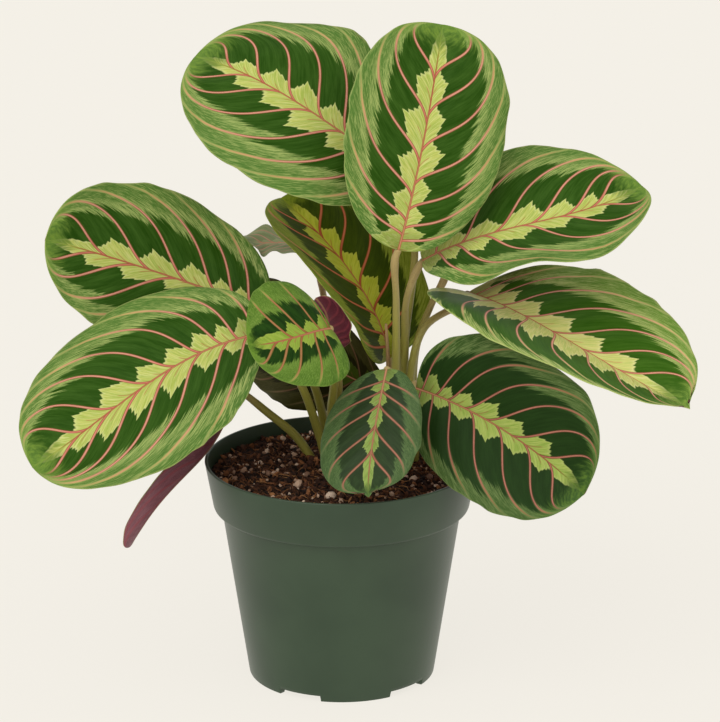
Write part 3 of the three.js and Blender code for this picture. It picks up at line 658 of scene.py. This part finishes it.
def rings_round(path, along, aside, radius, turn):
    """Rings of points round a path: each point of the path moved by the radius the ways that
    the turns give, of which the first is square to both the path and aside"""
    across = unit(np.cross(along, aside))
    third = np.cross(across, along)
    turn = turn[:, None]
    out = across[..., None, :] * np.cos(turn) + third[..., None, :] * np.sin(turn)
    return path[..., None, :] + radius[..., None] * out


def rounded(corner, before, after, radius):
    """A corner of a profile replaced by a short curve that starts and ends radius from it"""
    corner, before, after = (np.array(p, float) for p in (corner, before, after))
    start = corner + unit(before - corner) * radius
    end = corner + unit(after - corner) * radius
    t = np.linspace(0, 1, CORNER_POINTS)[:, None]
    return (start * (1 - t) ** 2 + 2 * corner * t * (1 - t) + end * t ** 2).tolist()


def rounded_profile(corners):
    """A profile whose corners, each [radius, height, rounding], are eased where they say so"""
    line = [corners[0][:2]]
    for before, corner, after in zip(corners, corners[1:], corners[2:]):
        if corner[2]:
            line += rounded(corner[:2], before[:2], after[:2], corner[2])
        else:
            line.append(corner[:2])
    line.append(corners[-1][:2])
    return np.array(line)


def wall_radius(z):
    """The outer radius of the tapering body at the height z"""
    return BASE_RADIUS + (BODY_TOP_RADIUS - BASE_RADIUS) * z / BAND_BOTTOM_Z


def pot():
    """The profile turned round Z. Points of the foot ring rise by the notch height where a
    notch is, so the five feet and the notches are one surface. Points between on the long
    straight wall keep its shading even."""
    inner_floor = CHANNEL_HEIGHT + FLOOR_THICKNESS
    foot_inner = BASE_RADIUS - FOOT_WIDTH
    profile = rounded_profile([
        (PAD_RADIUS / 3, 0, 0),
        (PAD_RADIUS, 0, 0.4),
        (PAD_RADIUS + 1.5, CHANNEL_HEIGHT, 0.4),
        (foot_inner - 0.6, CHANNEL_HEIGHT, 0.3),
        (foot_inner, 0, 0.3),
        (BASE_RADIUS, 0, 0.5),
        (wall_radius(4.2), 4.2, 0),
        (wall_radius(22), 22, 0),
        (wall_radius(45), 45, 0),
        (BODY_TOP_RADIUS, BAND_BOTTOM_Z, 0.3),
        (BAND_BOTTOM_RADIUS, BAND_BOTTOM_Z, 1.3),
        (LIP_RADIUS, POT_HEIGHT, 0.55),
        (LIP_RADIUS - POT_WALL, POT_HEIGHT, 0.5),
        (LIP_RADIUS - POT_WALL - 0.5, POT_HEIGHT - 2.2, 0),
        (BAND_BOTTOM_RADIUS - POT_WALL, BAND_BOTTOM_Z + 1.6, 0.6),
        (BODY_TOP_RADIUS - POT_WALL, BAND_BOTTOM_Z - 1.2, 0.6),
        (BASE_RADIUS - POT_WALL, inner_floor, 1.0),
        (PAD_RADIUS + 1.2, inner_floor, 0.3),
        (PAD_RADIUS - 1, FLOOR_THICKNESS, 0.3),
        (PAD_RADIUS / 3, FLOOR_THICKNESS, 0),
    ])
    period = 360.0 / FOOT_COUNT
    foot_half = (period - NOTCH_ANGLE) / 2
    angles = [np.linspace(0, 360, POT_SIDES, endpoint=False)]
    for k in range(FOOT_COUNT):
        middle = FIRST_FOOT_ANGLE + k * period
        for edge in (-foot_half, foot_half):
            angles.append(middle + edge + np.array([-0.3, -0.25, -0.1, 0.1, 0.25, 0.3]))
    angles = np.unique(np.round(np.concatenate(angles) % 360, 3))
    lift = lift_round(angles)
    radius, height = profile[:, 0][:, None], profile[:, 1][:, None]
    on_foot = (radius > foot_inner - 1.2) & (height < CHANNEL_HEIGHT)
    share = np.where(on_foot, 1 - height / CHANNEL_HEIGHT, 0)
    raised = share * lift[None] * NOTCH_HEIGHT
    z = height + raised
    on_wall = np.where(radius > BASE_RADIUS - 0.6, raised * (BODY_TOP_RADIUS - BASE_RADIUS), 0)
    turn = np.radians(angles)[None]
    out = radius + on_wall / BAND_BOTTOM_Z
    rings = np.stack([out * np.cos(turn), out * np.sin(turn), z], axis=-1)
    points = np.concatenate([[[0, 0, 0]], rings.reshape(-1, 3), [[0, 0, FLOOR_THICKNESS]]])
    # The inner wall below the lip, which pot_finish darkens with painted shade
    highest = int(np.argmax(profile[:, 1]))
    within = (np.arange(len(profile)) > highest + 5).astype(float)
    inside = np.concatenate([[0], np.repeat(within, len(angles)), [1]])
    faces = ring_faces(len(profile), len(angles))
    piece_from("nursery_pot", points, faces, [pot_finish()], ["pot"],
               values={"inside": inside})


# Potting mix
def soil_height(x, y):
    """The level of the mix with a lump and a crumb pattern, each a product of sine waves"""
    lumps = 0.7 * np.sin(x * 0.31 + 1.2 * np.sin(y * 0.23)) * np.cos(y * 0.27)
    crumbs = 0.25 * np.sin(x * 0.83 + y * 0.41) * np.sin(y * 0.77 - x * 0.35)
    return SOIL_Z + lumps + crumbs


def soil_surface(x, y):
    """The same with two sizes of small random heights added"""
    rough = noise_field(x, y, 2.6, 11) * 0.9 + noise_field(x, y, 1.1, 12) * 0.45
    return soil_height(x, y) + rough


def soil_bed():
    """Rings of points round Z: up the pot's inside, a small gap off it, then in over the
    rough top"""
    low = FLOOR_THICKNESS + MIX_GAP
    channel = low + CHANNEL_HEIGHT
    inside = POT_WALL + MIX_GAP
    turn = circle(MIX_SIDES)[None]
    wall = np.array([
        (PAD_RADIUS - 1.2, low),
        (PAD_RADIUS + 1, channel),
        (BASE_RADIUS - inside - 0.7, channel),
        (BASE_RADIUS - inside + 0.5, channel + 1),
        (BODY_TOP_RADIUS - inside, BAND_BOTTOM_Z - 1.4),
        (BAND_BOTTOM_RADIUS - inside, BAND_BOTTOM_Z + 1.9),
        (SOIL_RADIUS - 0.2, SOIL_Z - 1.9),
    ])
    radius = np.linspace(SOIL_RADIUS, 0.5, MIX_RINGS)[:, None] * np.ones_like(turn)
    z = soil_surface(radius * np.cos(turn), radius * np.sin(turn))
    all_radius = np.concatenate([wall[:, :1] * np.ones_like(turn), radius])
    all_z = np.concatenate([wall[:, 1:] * np.ones_like(turn), z])
    rings = np.stack([all_radius * np.cos(turn), all_radius * np.sin(turn), all_z], axis=-1)
    top = [[0, 0, float(soil_surface(np.array(0.0), np.array(0.0)))]]
    points = np.concatenate([[[0, 0, low]], rings.reshape(-1, 3), top])
    faces = ring_faces(len(all_radius), MIX_SIDES)
    piece_from("peat_bed", points, faces, [mix_finish()], ["soil"])


def turns(rng, count):
    """Random turns, one matrix each"""
    matrices, _ = np.linalg.qr(rng.normal(size=(count, 3, 3)))
    return matrices * np.sign(np.linalg.det(matrices))[:, None, None]


def lumps(name, places, sizes, rise, flatness, tones, material, seed):
    """Many small uneven lumps on the mix in one mesh: a round grid of points for each,
    swollen and pinched by a few random waves, scaled, turned and moved to its place, with
    its middle at rise times its size above the mix."""
    rng = np.random.default_rng(seed)
    rings, sides = 5, 8
    height = soil_surface(places[:, 0], places[:, 1]) + rise * sizes
    centres = np.concatenate([places, height[:, None]], axis=1)
    polar = np.linspace(0, np.pi, rings + 2)[1:-1][:, None]
    turn = circle(sides)[None]
    ball = np.stack([np.sin(polar) * np.cos(turn), np.sin(polar) * np.sin(turn),
                     np.cos(polar) * np.ones_like(turn)], axis=-1).reshape(-1, 3)
    ball = np.concatenate([[[0, 0, 1]], ball, [[0, 0, -1]]])
    count = len(centres)
    waves = rng.normal(size=(count, 3, 3)) * 1.8
    swell = 1 + 0.16 * np.sin(np.einsum("cwk,pk->cpw", waves, ball) + waves[:, None, :, 0]).sum(-1)
    shape = ball[None] * swell[..., None] * np.stack([np.ones(count), flatness[:, 0],
                                                      flatness[:, 1]], axis=-1)[:, None]
    shape = np.einsum("cij,cpj->cpi", turns(rng, count), shape) * sizes[:, None, None]
    points = (shape + centres[:, None]).reshape(-1, 3)
    face_list = ring_faces(rings, sides)
    pieces = [[corner + len(ball) * k for corner in face] for k in range(count)
              for face in face_list]
    tone = np.repeat(tones, len(ball))
    piece_from(name, points, pieces, [material], values={"tone": tone})


def from_feet(place, feet):
    """How far each place is from the nearest stalk's foot"""
    return np.min(np.linalg.norm(place[:, None] - feet[None], axis=-1), axis=1)


def spread(rng, count, reach, feet):
    """Random places on the mix, evenly over its area, clear of the stalks' feet"""
    radius = reach * np.sqrt(rng.uniform(0, 1, count * 2))
    turn = rng.uniform(0, 2 * np.pi, count * 2)
    place = np.stack([radius * np.cos(turn), radius * np.sin(turn)], axis=-1)
    return place[from_feet(place, feet) > CRUMB_CLEARANCE][:count]


def lay_perlite(feet):
    """The large grains follow the sunflower rule with seeded draws, and small ones are
    spread between them."""
    state = GRAIN_SEED
    draws = []
    for _ in range(BIG_GRAINS * 4):
        state = (state * 1664525 + 1013904223) % 4294967296
        draws.append(state / 4294967296)
    draws = np.array(draws).reshape(-1, 4)
    k = np.arange(BIG_GRAINS)
    radius = GRAIN_SPREAD * np.sqrt((k + 0.5) / BIG_GRAINS)
    angle = k * np.pi * (3 - math.sqrt(5)) + 0.6 * draws[:, 0]
    size = 1.1 + 1.2 * draws[:, 1] * draws[:, 2]
    place = np.stack([radius * np.cos(angle), radius * np.sin(angle)], axis=-1)
    clear = from_feet(place, feet) > GRAIN_CLEARANCE + size
    rng = np.random.default_rng(21)
    small = spread(rng, SMALL_GRAINS, SMALL_GRAIN_SPREAD, feet)
    places = np.concatenate([place[clear], small])
    sizes = np.concatenate([size[clear], 0.45 + 0.75 * rng.uniform(0, 1, len(small)) ** 2])
    flatness = rng.uniform(0.65, 1.0, (len(sizes), 2))
    tones = rng.uniform(0, 1, len(sizes))
    material = tone_finish("perlite", [(0.0, (104, 74, 56)), (0.45, (178, 146, 120)),
                                       (1.0, (220, 198, 174))], 1500.0, 0.8)
    lumps("perlite_grains", places, sizes, 0.35, flatness, tones, material, 22)


def lay_bark(feet):
    """Flat lumps, most of them small, spread over the mix"""
    rng = np.random.default_rng(31)
    places = spread(rng, BARK_CRUMBS, BARK_SPREAD, feet)
    sizes = 0.6 + 1.5 * rng.uniform(0, 1, len(places)) ** 2.2
    wide = rng.uniform(0.35, 0.8, len(sizes))
    flatness = np.stack([wide, rng.uniform(0.15, 0.45, len(sizes))], axis=1)
    tones = rng.uniform(0, 1, len(sizes))
    material = tone_finish("bark", [(0.0, (26, 16, 11)), (0.5, (74, 44, 27)), (0.85, (122, 78, 46)),
                                    (1.0, (160, 112, 70))], 900.0, 0.85)
    lumps("bark_crumbs", places, sizes, 0.25, flatness, tones, material, 32)


def lay_fibres(feet):
    """Thin bent fibres: four-sided tubes along short arcs that lie on the mix"""
    rng = np.random.default_rng(41)
    places = spread(rng, FIBRES, FIBRE_SPREAD, feet)
    count = len(places)
    steps, sides = 7, 4
    t = np.linspace(-0.5, 0.5, steps)
    heading = rng.uniform(0, 2 * np.pi, count)[:, None] + rng.normal(0, 1.1, count)[:, None] * t
    length = rng.uniform(2.5, 9.0, count)[:, None]
    x = places[:, :1] + length * t * np.cos(heading)
    y = places[:, 1:] + length * t * np.sin(heading)
    inside = np.minimum(1, FIBRE_LIMIT / np.maximum(np.hypot(x, y), 1e-6))
    x, y = x * inside, y * inside
    z = soil_surface(x, y) + 0.25 + rng.uniform(0, 0.9, count)[:, None] * (1 - 3.2 * t ** 2)
    path = np.stack([x, y, z], axis=-1)
    along = unit(np.gradient(path, axis=1))
    radius = rng.uniform(0.09, 0.26, count)[:, None] * (1 - 1.6 * t ** 2)
    ring = rings_round(path, along, [0, 0, 1.0], radius[..., None], circle(sides))
    ends = path[:, [0, -1]]
    points = np.concatenate([ends[:, :1], ring.reshape(count, -1, 3), ends[:, 1:]], axis=1)
    size = points.shape[1]
    face_list = ring_faces(steps, sides)
    faces = [[corner + size * k for corner in face] for k in range(count) for face in face_list]
    tones = np.repeat(rng.uniform(0, 1, count), size)
    material = tone_finish("fibre", [(0.0, (48, 28, 17)), (0.6, (112, 72, 40)),
                                     (1.0, (166, 122, 76))], 900.0, 0.8)
    piece_from("peat_fibres", points.reshape(-1, 3), faces, [material],
               values={"tone": tones})


# Blades
def outline(a, leaf, right):
    """Half-width at the share a of the length, as a share of the widest place: an oval with
    a power of b at the base and of 1 - b at its end, where b runs from 0 to 1 up to the
    spur, and the spur, which narrows evenly to the tip and starts inside the oval. right
    marks the points of the right half, whose base may have a power of its own."""
    both_bases, tip = leaf["ends"]
    base = np.where(right, leaf.get("right_base", both_bases), both_bases)
    spur_share = leaf.get("spur", 0)
    b = np.clip(a / (1 - spur_share), 0, 1)
    widest = base / (base + tip)
    oval = (b / widest) ** base * ((1 - b) / (1 - widest)) ** tip
    if not spur_share:
        return oval
    spur = np.where(1 - a < 2 * spur_share, SPUR_WIDTH * (1 - a) / spur_share, 0)
    return np.maximum(oval, spur)


def rib_curve(leaf, a):
    """Points and directions of the cubic curve that passes through the rib's four points"""
    start, p, q, end = (np.array(k, float) for k in leaf["rib"])
    c1 = (-5 * start + 18 * p - 9 * q + 2 * end) / 6
    c2 = (2 * start - 9 * p + 18 * q - 5 * end) / 6
    a = a[..., None]
    b = 1 - a
    points = start * b ** 3 + 3 * c1 * a * b * b + 3 * c2 * a * a * b + end * a ** 3
    along = 3 * (c1 - start) * b * b + 6 * (c2 - c1) * a * b + 3 * (end - c2) * a * a
    return points, unit(along)


def blade_surface(leaf, a, v):
    """Points of the blade's middle surface, at the share a of its length and v from -1, the
    left margin, to 1, the right margin. Each half is an arc that leaves the midrib at the
    fold's angle and bends by curl, with a ruffle that grows towards the margin."""
    right = v > 0
    side = lambda key: np.where(right, leaf[key][1], leaf[key][0])
    outward = np.where(right, 1.0, -1.0)
    u = np.abs(v)
    middle, along = rib_curve(leaf, a)
    across = unit(np.cross(along, leaf["face"]))
    up = np.cross(across, along)
    turn = (np.radians(leaf["twist"]) * (a - 0.5))[..., None]
    sideways = across * np.cos(turn) + up * np.sin(turn)
    lift = up * np.cos(turn) - across * np.sin(turn)
    width = outline(a, leaf, right) * u
    bend = np.radians(side("curl")) * width / 2
    chord = side("half") * width * np.sinc(bend / np.pi)
    slope = np.radians(side("fold")) + bend
    cycle = 2 * np.pi * leaf["waves"] * a + np.radians(side("phase"))
    ruffle = side("wave") * np.sin(cycle) * u ** 2 * width
    out = outward * (chord * np.cos(slope) - ruffle * np.sin(slope + bend))
    rise = chord * np.sin(slope) + ruffle * np.cos(slope + bend)
    return middle + sideways * out[..., None] + lift * rise[..., None]


def between_ends(a, at_base, at_tip):
    """1 along the blade, falling evenly to 0 at its base and at its tip"""
    return np.clip(a * at_base, 0, 1) * np.clip((1 - a) * at_tip, 0, 1)


def vein_count(veins, s):
    """A number that rises along the midrib by one from each side vein to the next"""
    stops = [0.0, *veins, 1.0]
    counts = [-0.55, *range(len(veins)), len(veins) - 0.45]
    fine = np.linspace(0, 1, 801)
    rising = np.interp(fine, stops, counts)
    padded = np.concatenate([2 * rising[0] - rising[12:0:-1], rising,
                             2 * rising[-1] - rising[-2:-14:-1]])
    smooth = np.convolve(padded, np.ones(25) / 25, mode="valid")
    return np.interp(s, fine, smooth)


def blade(name, leaf, upper, under, seed):
    """The blade as one closed mesh. Its rows follow the side veins: the row that leaves the
    midrib at the share s reaches the share 1 - (1 - s) ** (1 + k u + m u ** 5) of the
    length at the share u of the half-width, but for a small hook beside the midrib. Both
    faces stand half a thickness off the middle surface, which swells a little between the
    veins, and the midrib stands out of the lower face."""
    rows, columns = SMALL_GRID if max(leaf["half"]) < SMALL_LEAF_HALF_WIDTH else BIG_GRID
    veins = leaf.get("veins", USUAL_VEINS)
    x = np.linspace(0, 1, rows + 1)
    s = x ** 1.7 * (1 - x) + (1 - (1 - x) ** 1.15) * x
    across = np.linspace(-1, 1, columns)
    v = across * np.abs(across) ** 0.55
    grid_s, grid_v = np.meshgrid(s, v, indexing="ij")
    u = np.abs(grid_v)
    right = grid_v > 0
    side = right.astype(int)

    def own(pair):
        """The left or the right one of a pair, whichever the point's half asks for"""
        pair = np.asarray(pair)
        return np.where(right, pair[..., 1, None], pair[..., 0, None])

    k, m = np.moveaxis(np.array(leaf.get("sweep", USUAL_SWEEP))[side], -1, 0)
    hook = VEIN_HOOK * np.exp(-u / 0.05)
    a = 1 - (1 - grid_s) ** (1 + k * u + m * u ** 5 - hook)
    counts = np.stack([vein_count(places, s) for places in veins], axis=-1)
    swell = np.sin(np.pi * (own(counts) % 1.0)) ** 2
    half = own(leaf["half"])
    size = math.dist(leaf["rib"][0], leaf["rib"][3])
    nicks = noise_field(a * size, 90 * side, NICK_SPACING, seed + 80) * EDGE_WANDER / half
    margin = 1 + (SCALLOP * (swell - 0.3) + nicks * between_ends(a, 10, 20)) * u ** 6
    surface = blade_surface(leaf, a, grid_v * margin)

    along = np.gradient(surface, s, axis=0)
    beside = np.gradient(surface, v, axis=1)
    normal = np.cross(beside, along)
    normal[0], normal[-1] = normal[1], normal[-2]
    normal = unit(normal + 1e-12)
    normal[0] = unit(normal[1].mean(axis=0))
    normal[-1] = unit(normal[-2].mean(axis=0))

    spacing = np.linalg.norm(np.cross(along, beside), axis=-1)
    spacing = spacing / np.maximum(np.linalg.norm(beside, axis=-1), 1e-6)
    spacing = spacing / own(np.gradient(counts, s, axis=0))
    width = outline(a, leaf, right)
    from_midrib = u * width * half

    fade = np.clip(from_midrib / 6, 0, 1) * (1 - u ** 4)
    quilt = QUILT_HEIGHT * (swell - 0.4) * fade
    uneven = UNEVENNESS * noise_field(a * size, grid_v * half, UNEVEN_SPACING, seed)
    uneven = uneven * np.clip(a * 6, 0, 1) * np.clip(from_midrib / 8, 0, 1)
    ruffle = MARGIN_RUFFLE * noise_field(a * size, 40 * side, RUFFLE_SPACING, seed + 50) * u ** 6
    ruffle = ruffle * between_ends(a, 8, 10)
    surface = surface + normal * (quilt + uneven + ruffle)[..., None]
    groove = GROOVE_DEPTH * np.exp(-(from_midrib / 1.1) ** 2) * (1 - a)
    ridge = RIDGE_HEIGHT * (1 - 0.75 * a) * np.exp(-from_midrib ** 2) * between_ends(a, 60, 12)
    half_thick = BLADE_THICKNESS / 2 * (1 - 0.5 * u ** 6)
    upper_points = surface + normal * (half_thick - groove)[..., None]
    lower_points = surface - normal * (half_thick + ridge)[..., None]

    # Points: for each face its base point, its rows, and its tip point
    layer = (rows - 1) * columns + 2
    index = np.empty((rows + 1, columns), int)
    index[0], index[rows] = 0, layer - 1
    index[1:rows] = 1 + np.arange((rows - 1) * columns).reshape(-1, columns)

    def in_order(*grids):
        flat = [grid.reshape(rows + 1, columns, -1) for grid in grids]
        return np.concatenate([part for grid in flat for part in (
            grid[0, :1], grid[1:rows].reshape(-1, grid.shape[-1]), grid[rows, :1])])

    values = {"reach": u * width / own(leaf.get("lobes", (1, 1))),
              "later": own(leaf.get("later", (0, 0))), "gap": spacing, "length": a,
              "from_midrib": from_midrib * (1 + 0.9 * a)}
    values = {key: in_order(grid, grid) for key, grid in values.items()}

    # Faces, with the vein count of their own side at each corner. Each half of each leaf
    # counts from a number of its own, so its cells differ.
    counts = counts + np.array([17.0, 25.0]) + 17.0 * (seed % 20)
    column = np.arange(columns - 1)
    face_side = (column >= columns // 2).astype(int)
    i, j = np.meshgrid(np.arange(rows), column, indexing="ij")
    corners = ((0, 0), (0, 1), (1, 1), (1, 0))
    square = np.stack([index[i + di, j + dj] for di, dj in corners], axis=-1)
    square_uv = np.stack([np.stack([counts[i + di, face_side[j]], np.abs(v)[j + dj]], axis=-1)
                          for di, dj in corners], axis=2)
    faces, uv, slots = [], [], []
    for which_rows, used in ((slice(1, -1), [0, 1, 2, 3]), (0, [0, 2, 3]), (-1, [0, 1, 2])):
        block = square[which_rows][..., used].reshape(-1, len(used))
        block_uv = square_uv[which_rows][..., used, :].reshape(-1, len(used), 2)
        faces += block.tolist() + (block[:, ::-1] + layer).tolist()
        uv += [block_uv.reshape(-1, 2), block_uv[:, ::-1].reshape(-1, 2)]
        slots += [0] * len(block) + [1] * len(block)
    for edge_side, (edge, order) in enumerate(((0, 1), (columns - 1, -1))):
        top, below, count = index[:, edge], index[:, edge] + layer, counts[:, edge_side]
        strip = np.stack([top[:-1], top[1:], below[1:], below[:-1]], axis=-1)
        strip_uv = np.stack([count[:-1], count[1:], count[1:], count[:-1]], axis=-1)
        strip_uv = np.stack([strip_uv, np.ones_like(strip_uv)], axis=-1)
        faces += strip[:, ::order].tolist()
        uv.append(strip_uv[:, ::order].reshape(-1, 2))
        slots += [0] * len(strip)
    piece_from(f"blade_{name}", in_order(upper_points, lower_points), faces, [upper, under],
               [f"leaf_{name}"], values=values, uvs={"veins": np.concatenate(uv)},
               face_slots=slots)


# Stalks
def path_through(points, shares):
    """Points along the smooth centripetal curve through the given points, at shares of its
    length"""
    p = np.array(points, float)
    p = np.concatenate([[2 * p[0] - p[1]], p, [2 * p[-1] - p[-2]]])
    fine = []
    for p0, p1, p2, p3 in zip(p, p[1:], p[2:], p[3:]):
        d0, d1, d2 = (np.sqrt(np.linalg.norm(b - c)) for b, c in ((p1, p0), (p2, p1), (p3, p2)))
        t1 = ((p1 - p0) / d0 - (p2 - p0) / (d0 + d1) + (p2 - p1) / d1) * d1
        t2 = ((p2 - p1) / d1 - (p3 - p1) / (d1 + d2) + (p3 - p2) / d2) * d1
        t = np.linspace(0, 1, 60, endpoint=False)[:, None]
        fine.append(p1 + t1 * t + (-3 * p1 + 3 * p2 - 2 * t1 - t2) * t ** 2
                    + (2 * p1 - 2 * p2 + t1 + t2) * t ** 3)
    fine = np.concatenate([*fine, p[-2:-1]])
    length = np.concatenate([[0], np.cumsum(np.linalg.norm(np.diff(fine, axis=0), axis=1))])
    return np.stack([np.interp(shares * length[-1], length, fine[:, k]) for k in range(3)], axis=1)


def stalk_points(leaf):
    """The stalk's points from its foot to the blade's base, with a short joint before it
    that bends into the midrib and is level with neither half"""
    foot, low, high = leaf["stalk"]
    top, along = rib_curve(leaf, np.array(0.0))
    across = unit(np.cross(along, leaf["face"]))
    lift = np.cross(across, along)
    arriving = unit(top - np.array(high, float))
    forward = max(float(arriving @ along), JOINT_FORWARD)
    joint = unit(along * forward + lift * float(arriving @ lift))
    neck = top - joint * JOINT_LENGTH
    end = top + joint * 0.1 - lift * 0.35
    return [(*foot, STALK_ROOT_Z), low, high, neck, end]


def stalk(name, points, material, root_radius, top_radius, node, slot="stalk"):
    """A round tube along its path: thicker at the foot, where the sheath clasps it, slim
    along its length, and a little swollen at the joint under the blade"""
    t = np.sin(np.linspace(0, np.pi / 2, STALK_RINGS))
    path = path_through(points, t)
    along = unit(np.gradient(path, t + np.linspace(0, 1e-6, STALK_RINGS), axis=0))
    radius = root_radius + (top_radius - root_radius) * t
    if slot == "stalk":
        radius = radius + 0.3 * np.exp(-((t - 0.93) / 0.04) ** 2)
        radius = radius - 0.15 * np.exp(-((t - 0.8) / 0.08) ** 2)
    turn = -circle(STALK_SIDES)
    oval = 1 + 0.07 * np.cos(2 * turn)
    ring = rings_round(path, along, [1.0, 0, 0], radius[:, None] * oval, turn)
    tube = np.concatenate([path[:1], ring.reshape(-1, 3), path[-1:]])
    faces = ring_faces(STALK_RINGS, STALK_SIDES)
    share = np.concatenate([[0], np.repeat(t, STALK_SIDES), [1]])
    around = np.abs(np.linspace(-1, 1, STALK_SIDES, endpoint=False))
    around = np.concatenate([[0.5], np.tile(around, STALK_RINGS), [0.5]])
    corner = np.concatenate(faces)
    uv = np.stack([share[corner], around[corner]], axis=-1)
    piece_from(name, tube, faces, [material], [node], uvs={"stalk": uv})


# Studio
def studio():
    """The camera, a soft surround, two wide suns and a pale floor"""
    scene = bpy.context.scene
    scene.view_settings.view_transform = "Standard"
    camera = bpy.data.objects.new("camera", bpy.data.cameras.new("camera"))
    camera.data.lens = CAMERA_LENS
    camera.location = CAMERA_PLACE
    camera.rotation_euler = (math.radians(90 - CAMERA_PITCH), 0, math.radians(-CAMERA_YAW))
    camera.data.clip_end = 60
    scene.collection.objects.link(camera)
    scene.camera = camera

    world = bpy.data.worlds.new("studio")
    world.use_nodes = True
    surround = world.node_tree.nodes["Background"].inputs
    surround["Color"].default_value = (1.0, 0.98, 0.95, 1)
    surround["Strength"].default_value = SURROUND_STRENGTH
    scene.world = world

    for name, strength, angle, pitch, heading, tint in (
        ("key", 1.6, 64, 50, -30, (1.0, 0.98, 0.95)),
        ("fill", 0.3, 60, 60, 50, (1.0, 0.98, 0.96)),
    ):
        lamp = bpy.data.lights.new(name, "SUN")
        lamp.energy = strength
        lamp.angle = math.radians(angle)
        lamp.color = tint
        light = bpy.data.objects.new(name, lamp)
        light.rotation_euler = (math.radians(pitch), 0, math.radians(heading))
        scene.collection.objects.link(light)

    floor_mesh = bpy.data.meshes.new("floor")
    corners = FLOOR_REACH * np.array([(-1, -1, 0), (1, -1, 0), (1, 1, 0), (-1, 1, 0)])
    floor_mesh.from_pydata(corners.tolist(), [], [(0, 1, 2, 3)])
    n = Nodes("floor_paper")
    n.feed(n.shader, {"Emission Color": colour(244, 240, 231), "Emission Strength": FLOOR_GLOW})
    floor_mesh.materials.append(n.finish(colour(90, 89, 86), 0.95, 0.0))
    floor = bpy.data.objects.new("floor", floor_mesh)
    scene.collection.objects.link(floor)


# The whole plant
studio()
pot()
feet = np.array([leaf["stalk"][0] for leaf in LEAVES.values()] + [DRY_SHEATH[0][:2]], float)
soil_bed()
lay_perlite(feet)
lay_bark(feet)
lay_fibres(feet)

green = blade_finish("blade_green")
left_green = blade_finish("blade_left", LEFT_LOOK)
finish_of = {
    "right": blade_finish("blade_right", RIGHT_PAINTED_LIGHT_LOOK),
    "upper_left": left_green,
    "lower_left": left_green,
    "small_front": blade_finish("blade_young", YOUNG_LOOK),
    "lower_right": blade_finish("blade_lower_painted_shade", LOWER_PAINTED_SHADE_LOOK),
    "small_centre": blade_finish("blade_mixed", MIXED_LOOK),
    "centre_back": blade_finish("blade_shaded", SHADED_LOOK),
    "low_back": blade_finish("blade_low", LOW_PAINTED_SHADE_LOOK),
    "far_back": blade_finish("blade_far", FAR_LOOK),
}
burgundy = underside_finish("blade_burgundy", colour(84, 34, 44), colour(112, 52, 64))
# Painted light: a paler, greyer burgundy for the rolled left leaf's lower side, which is in shade
painted_light_burgundy = underside_finish("blade_burgundy_painted_light", colour(104, 54, 66), colour(142, 92, 100))
olive = stalk_finish("stalk_olive", colour(156, 152, 66), colour(184, 160, 106))
for k, (name, leaf) in enumerate(LEAVES.items()):
    under = painted_light_burgundy if name == "rolled_left" else burgundy
    blade(name, leaf, finish_of.get(name, green), under, k + 1)
    stalk(f"petiole_{name}", stalk_points(leaf), olive, STALK_ROOT_RADIUS, STALK_TOP_RADIUS,
          f"stalk_{name}")
dry = stalk_finish("sheath_dry", colour(136, 96, 62), colour(196, 160, 112))
stalk("old_sheath", DRY_SHEATH, dry, SHEATH_ROOT_RADIUS, SHEATH_TOP_RADIUS, "dry_sheath",
      "dry_sheath")
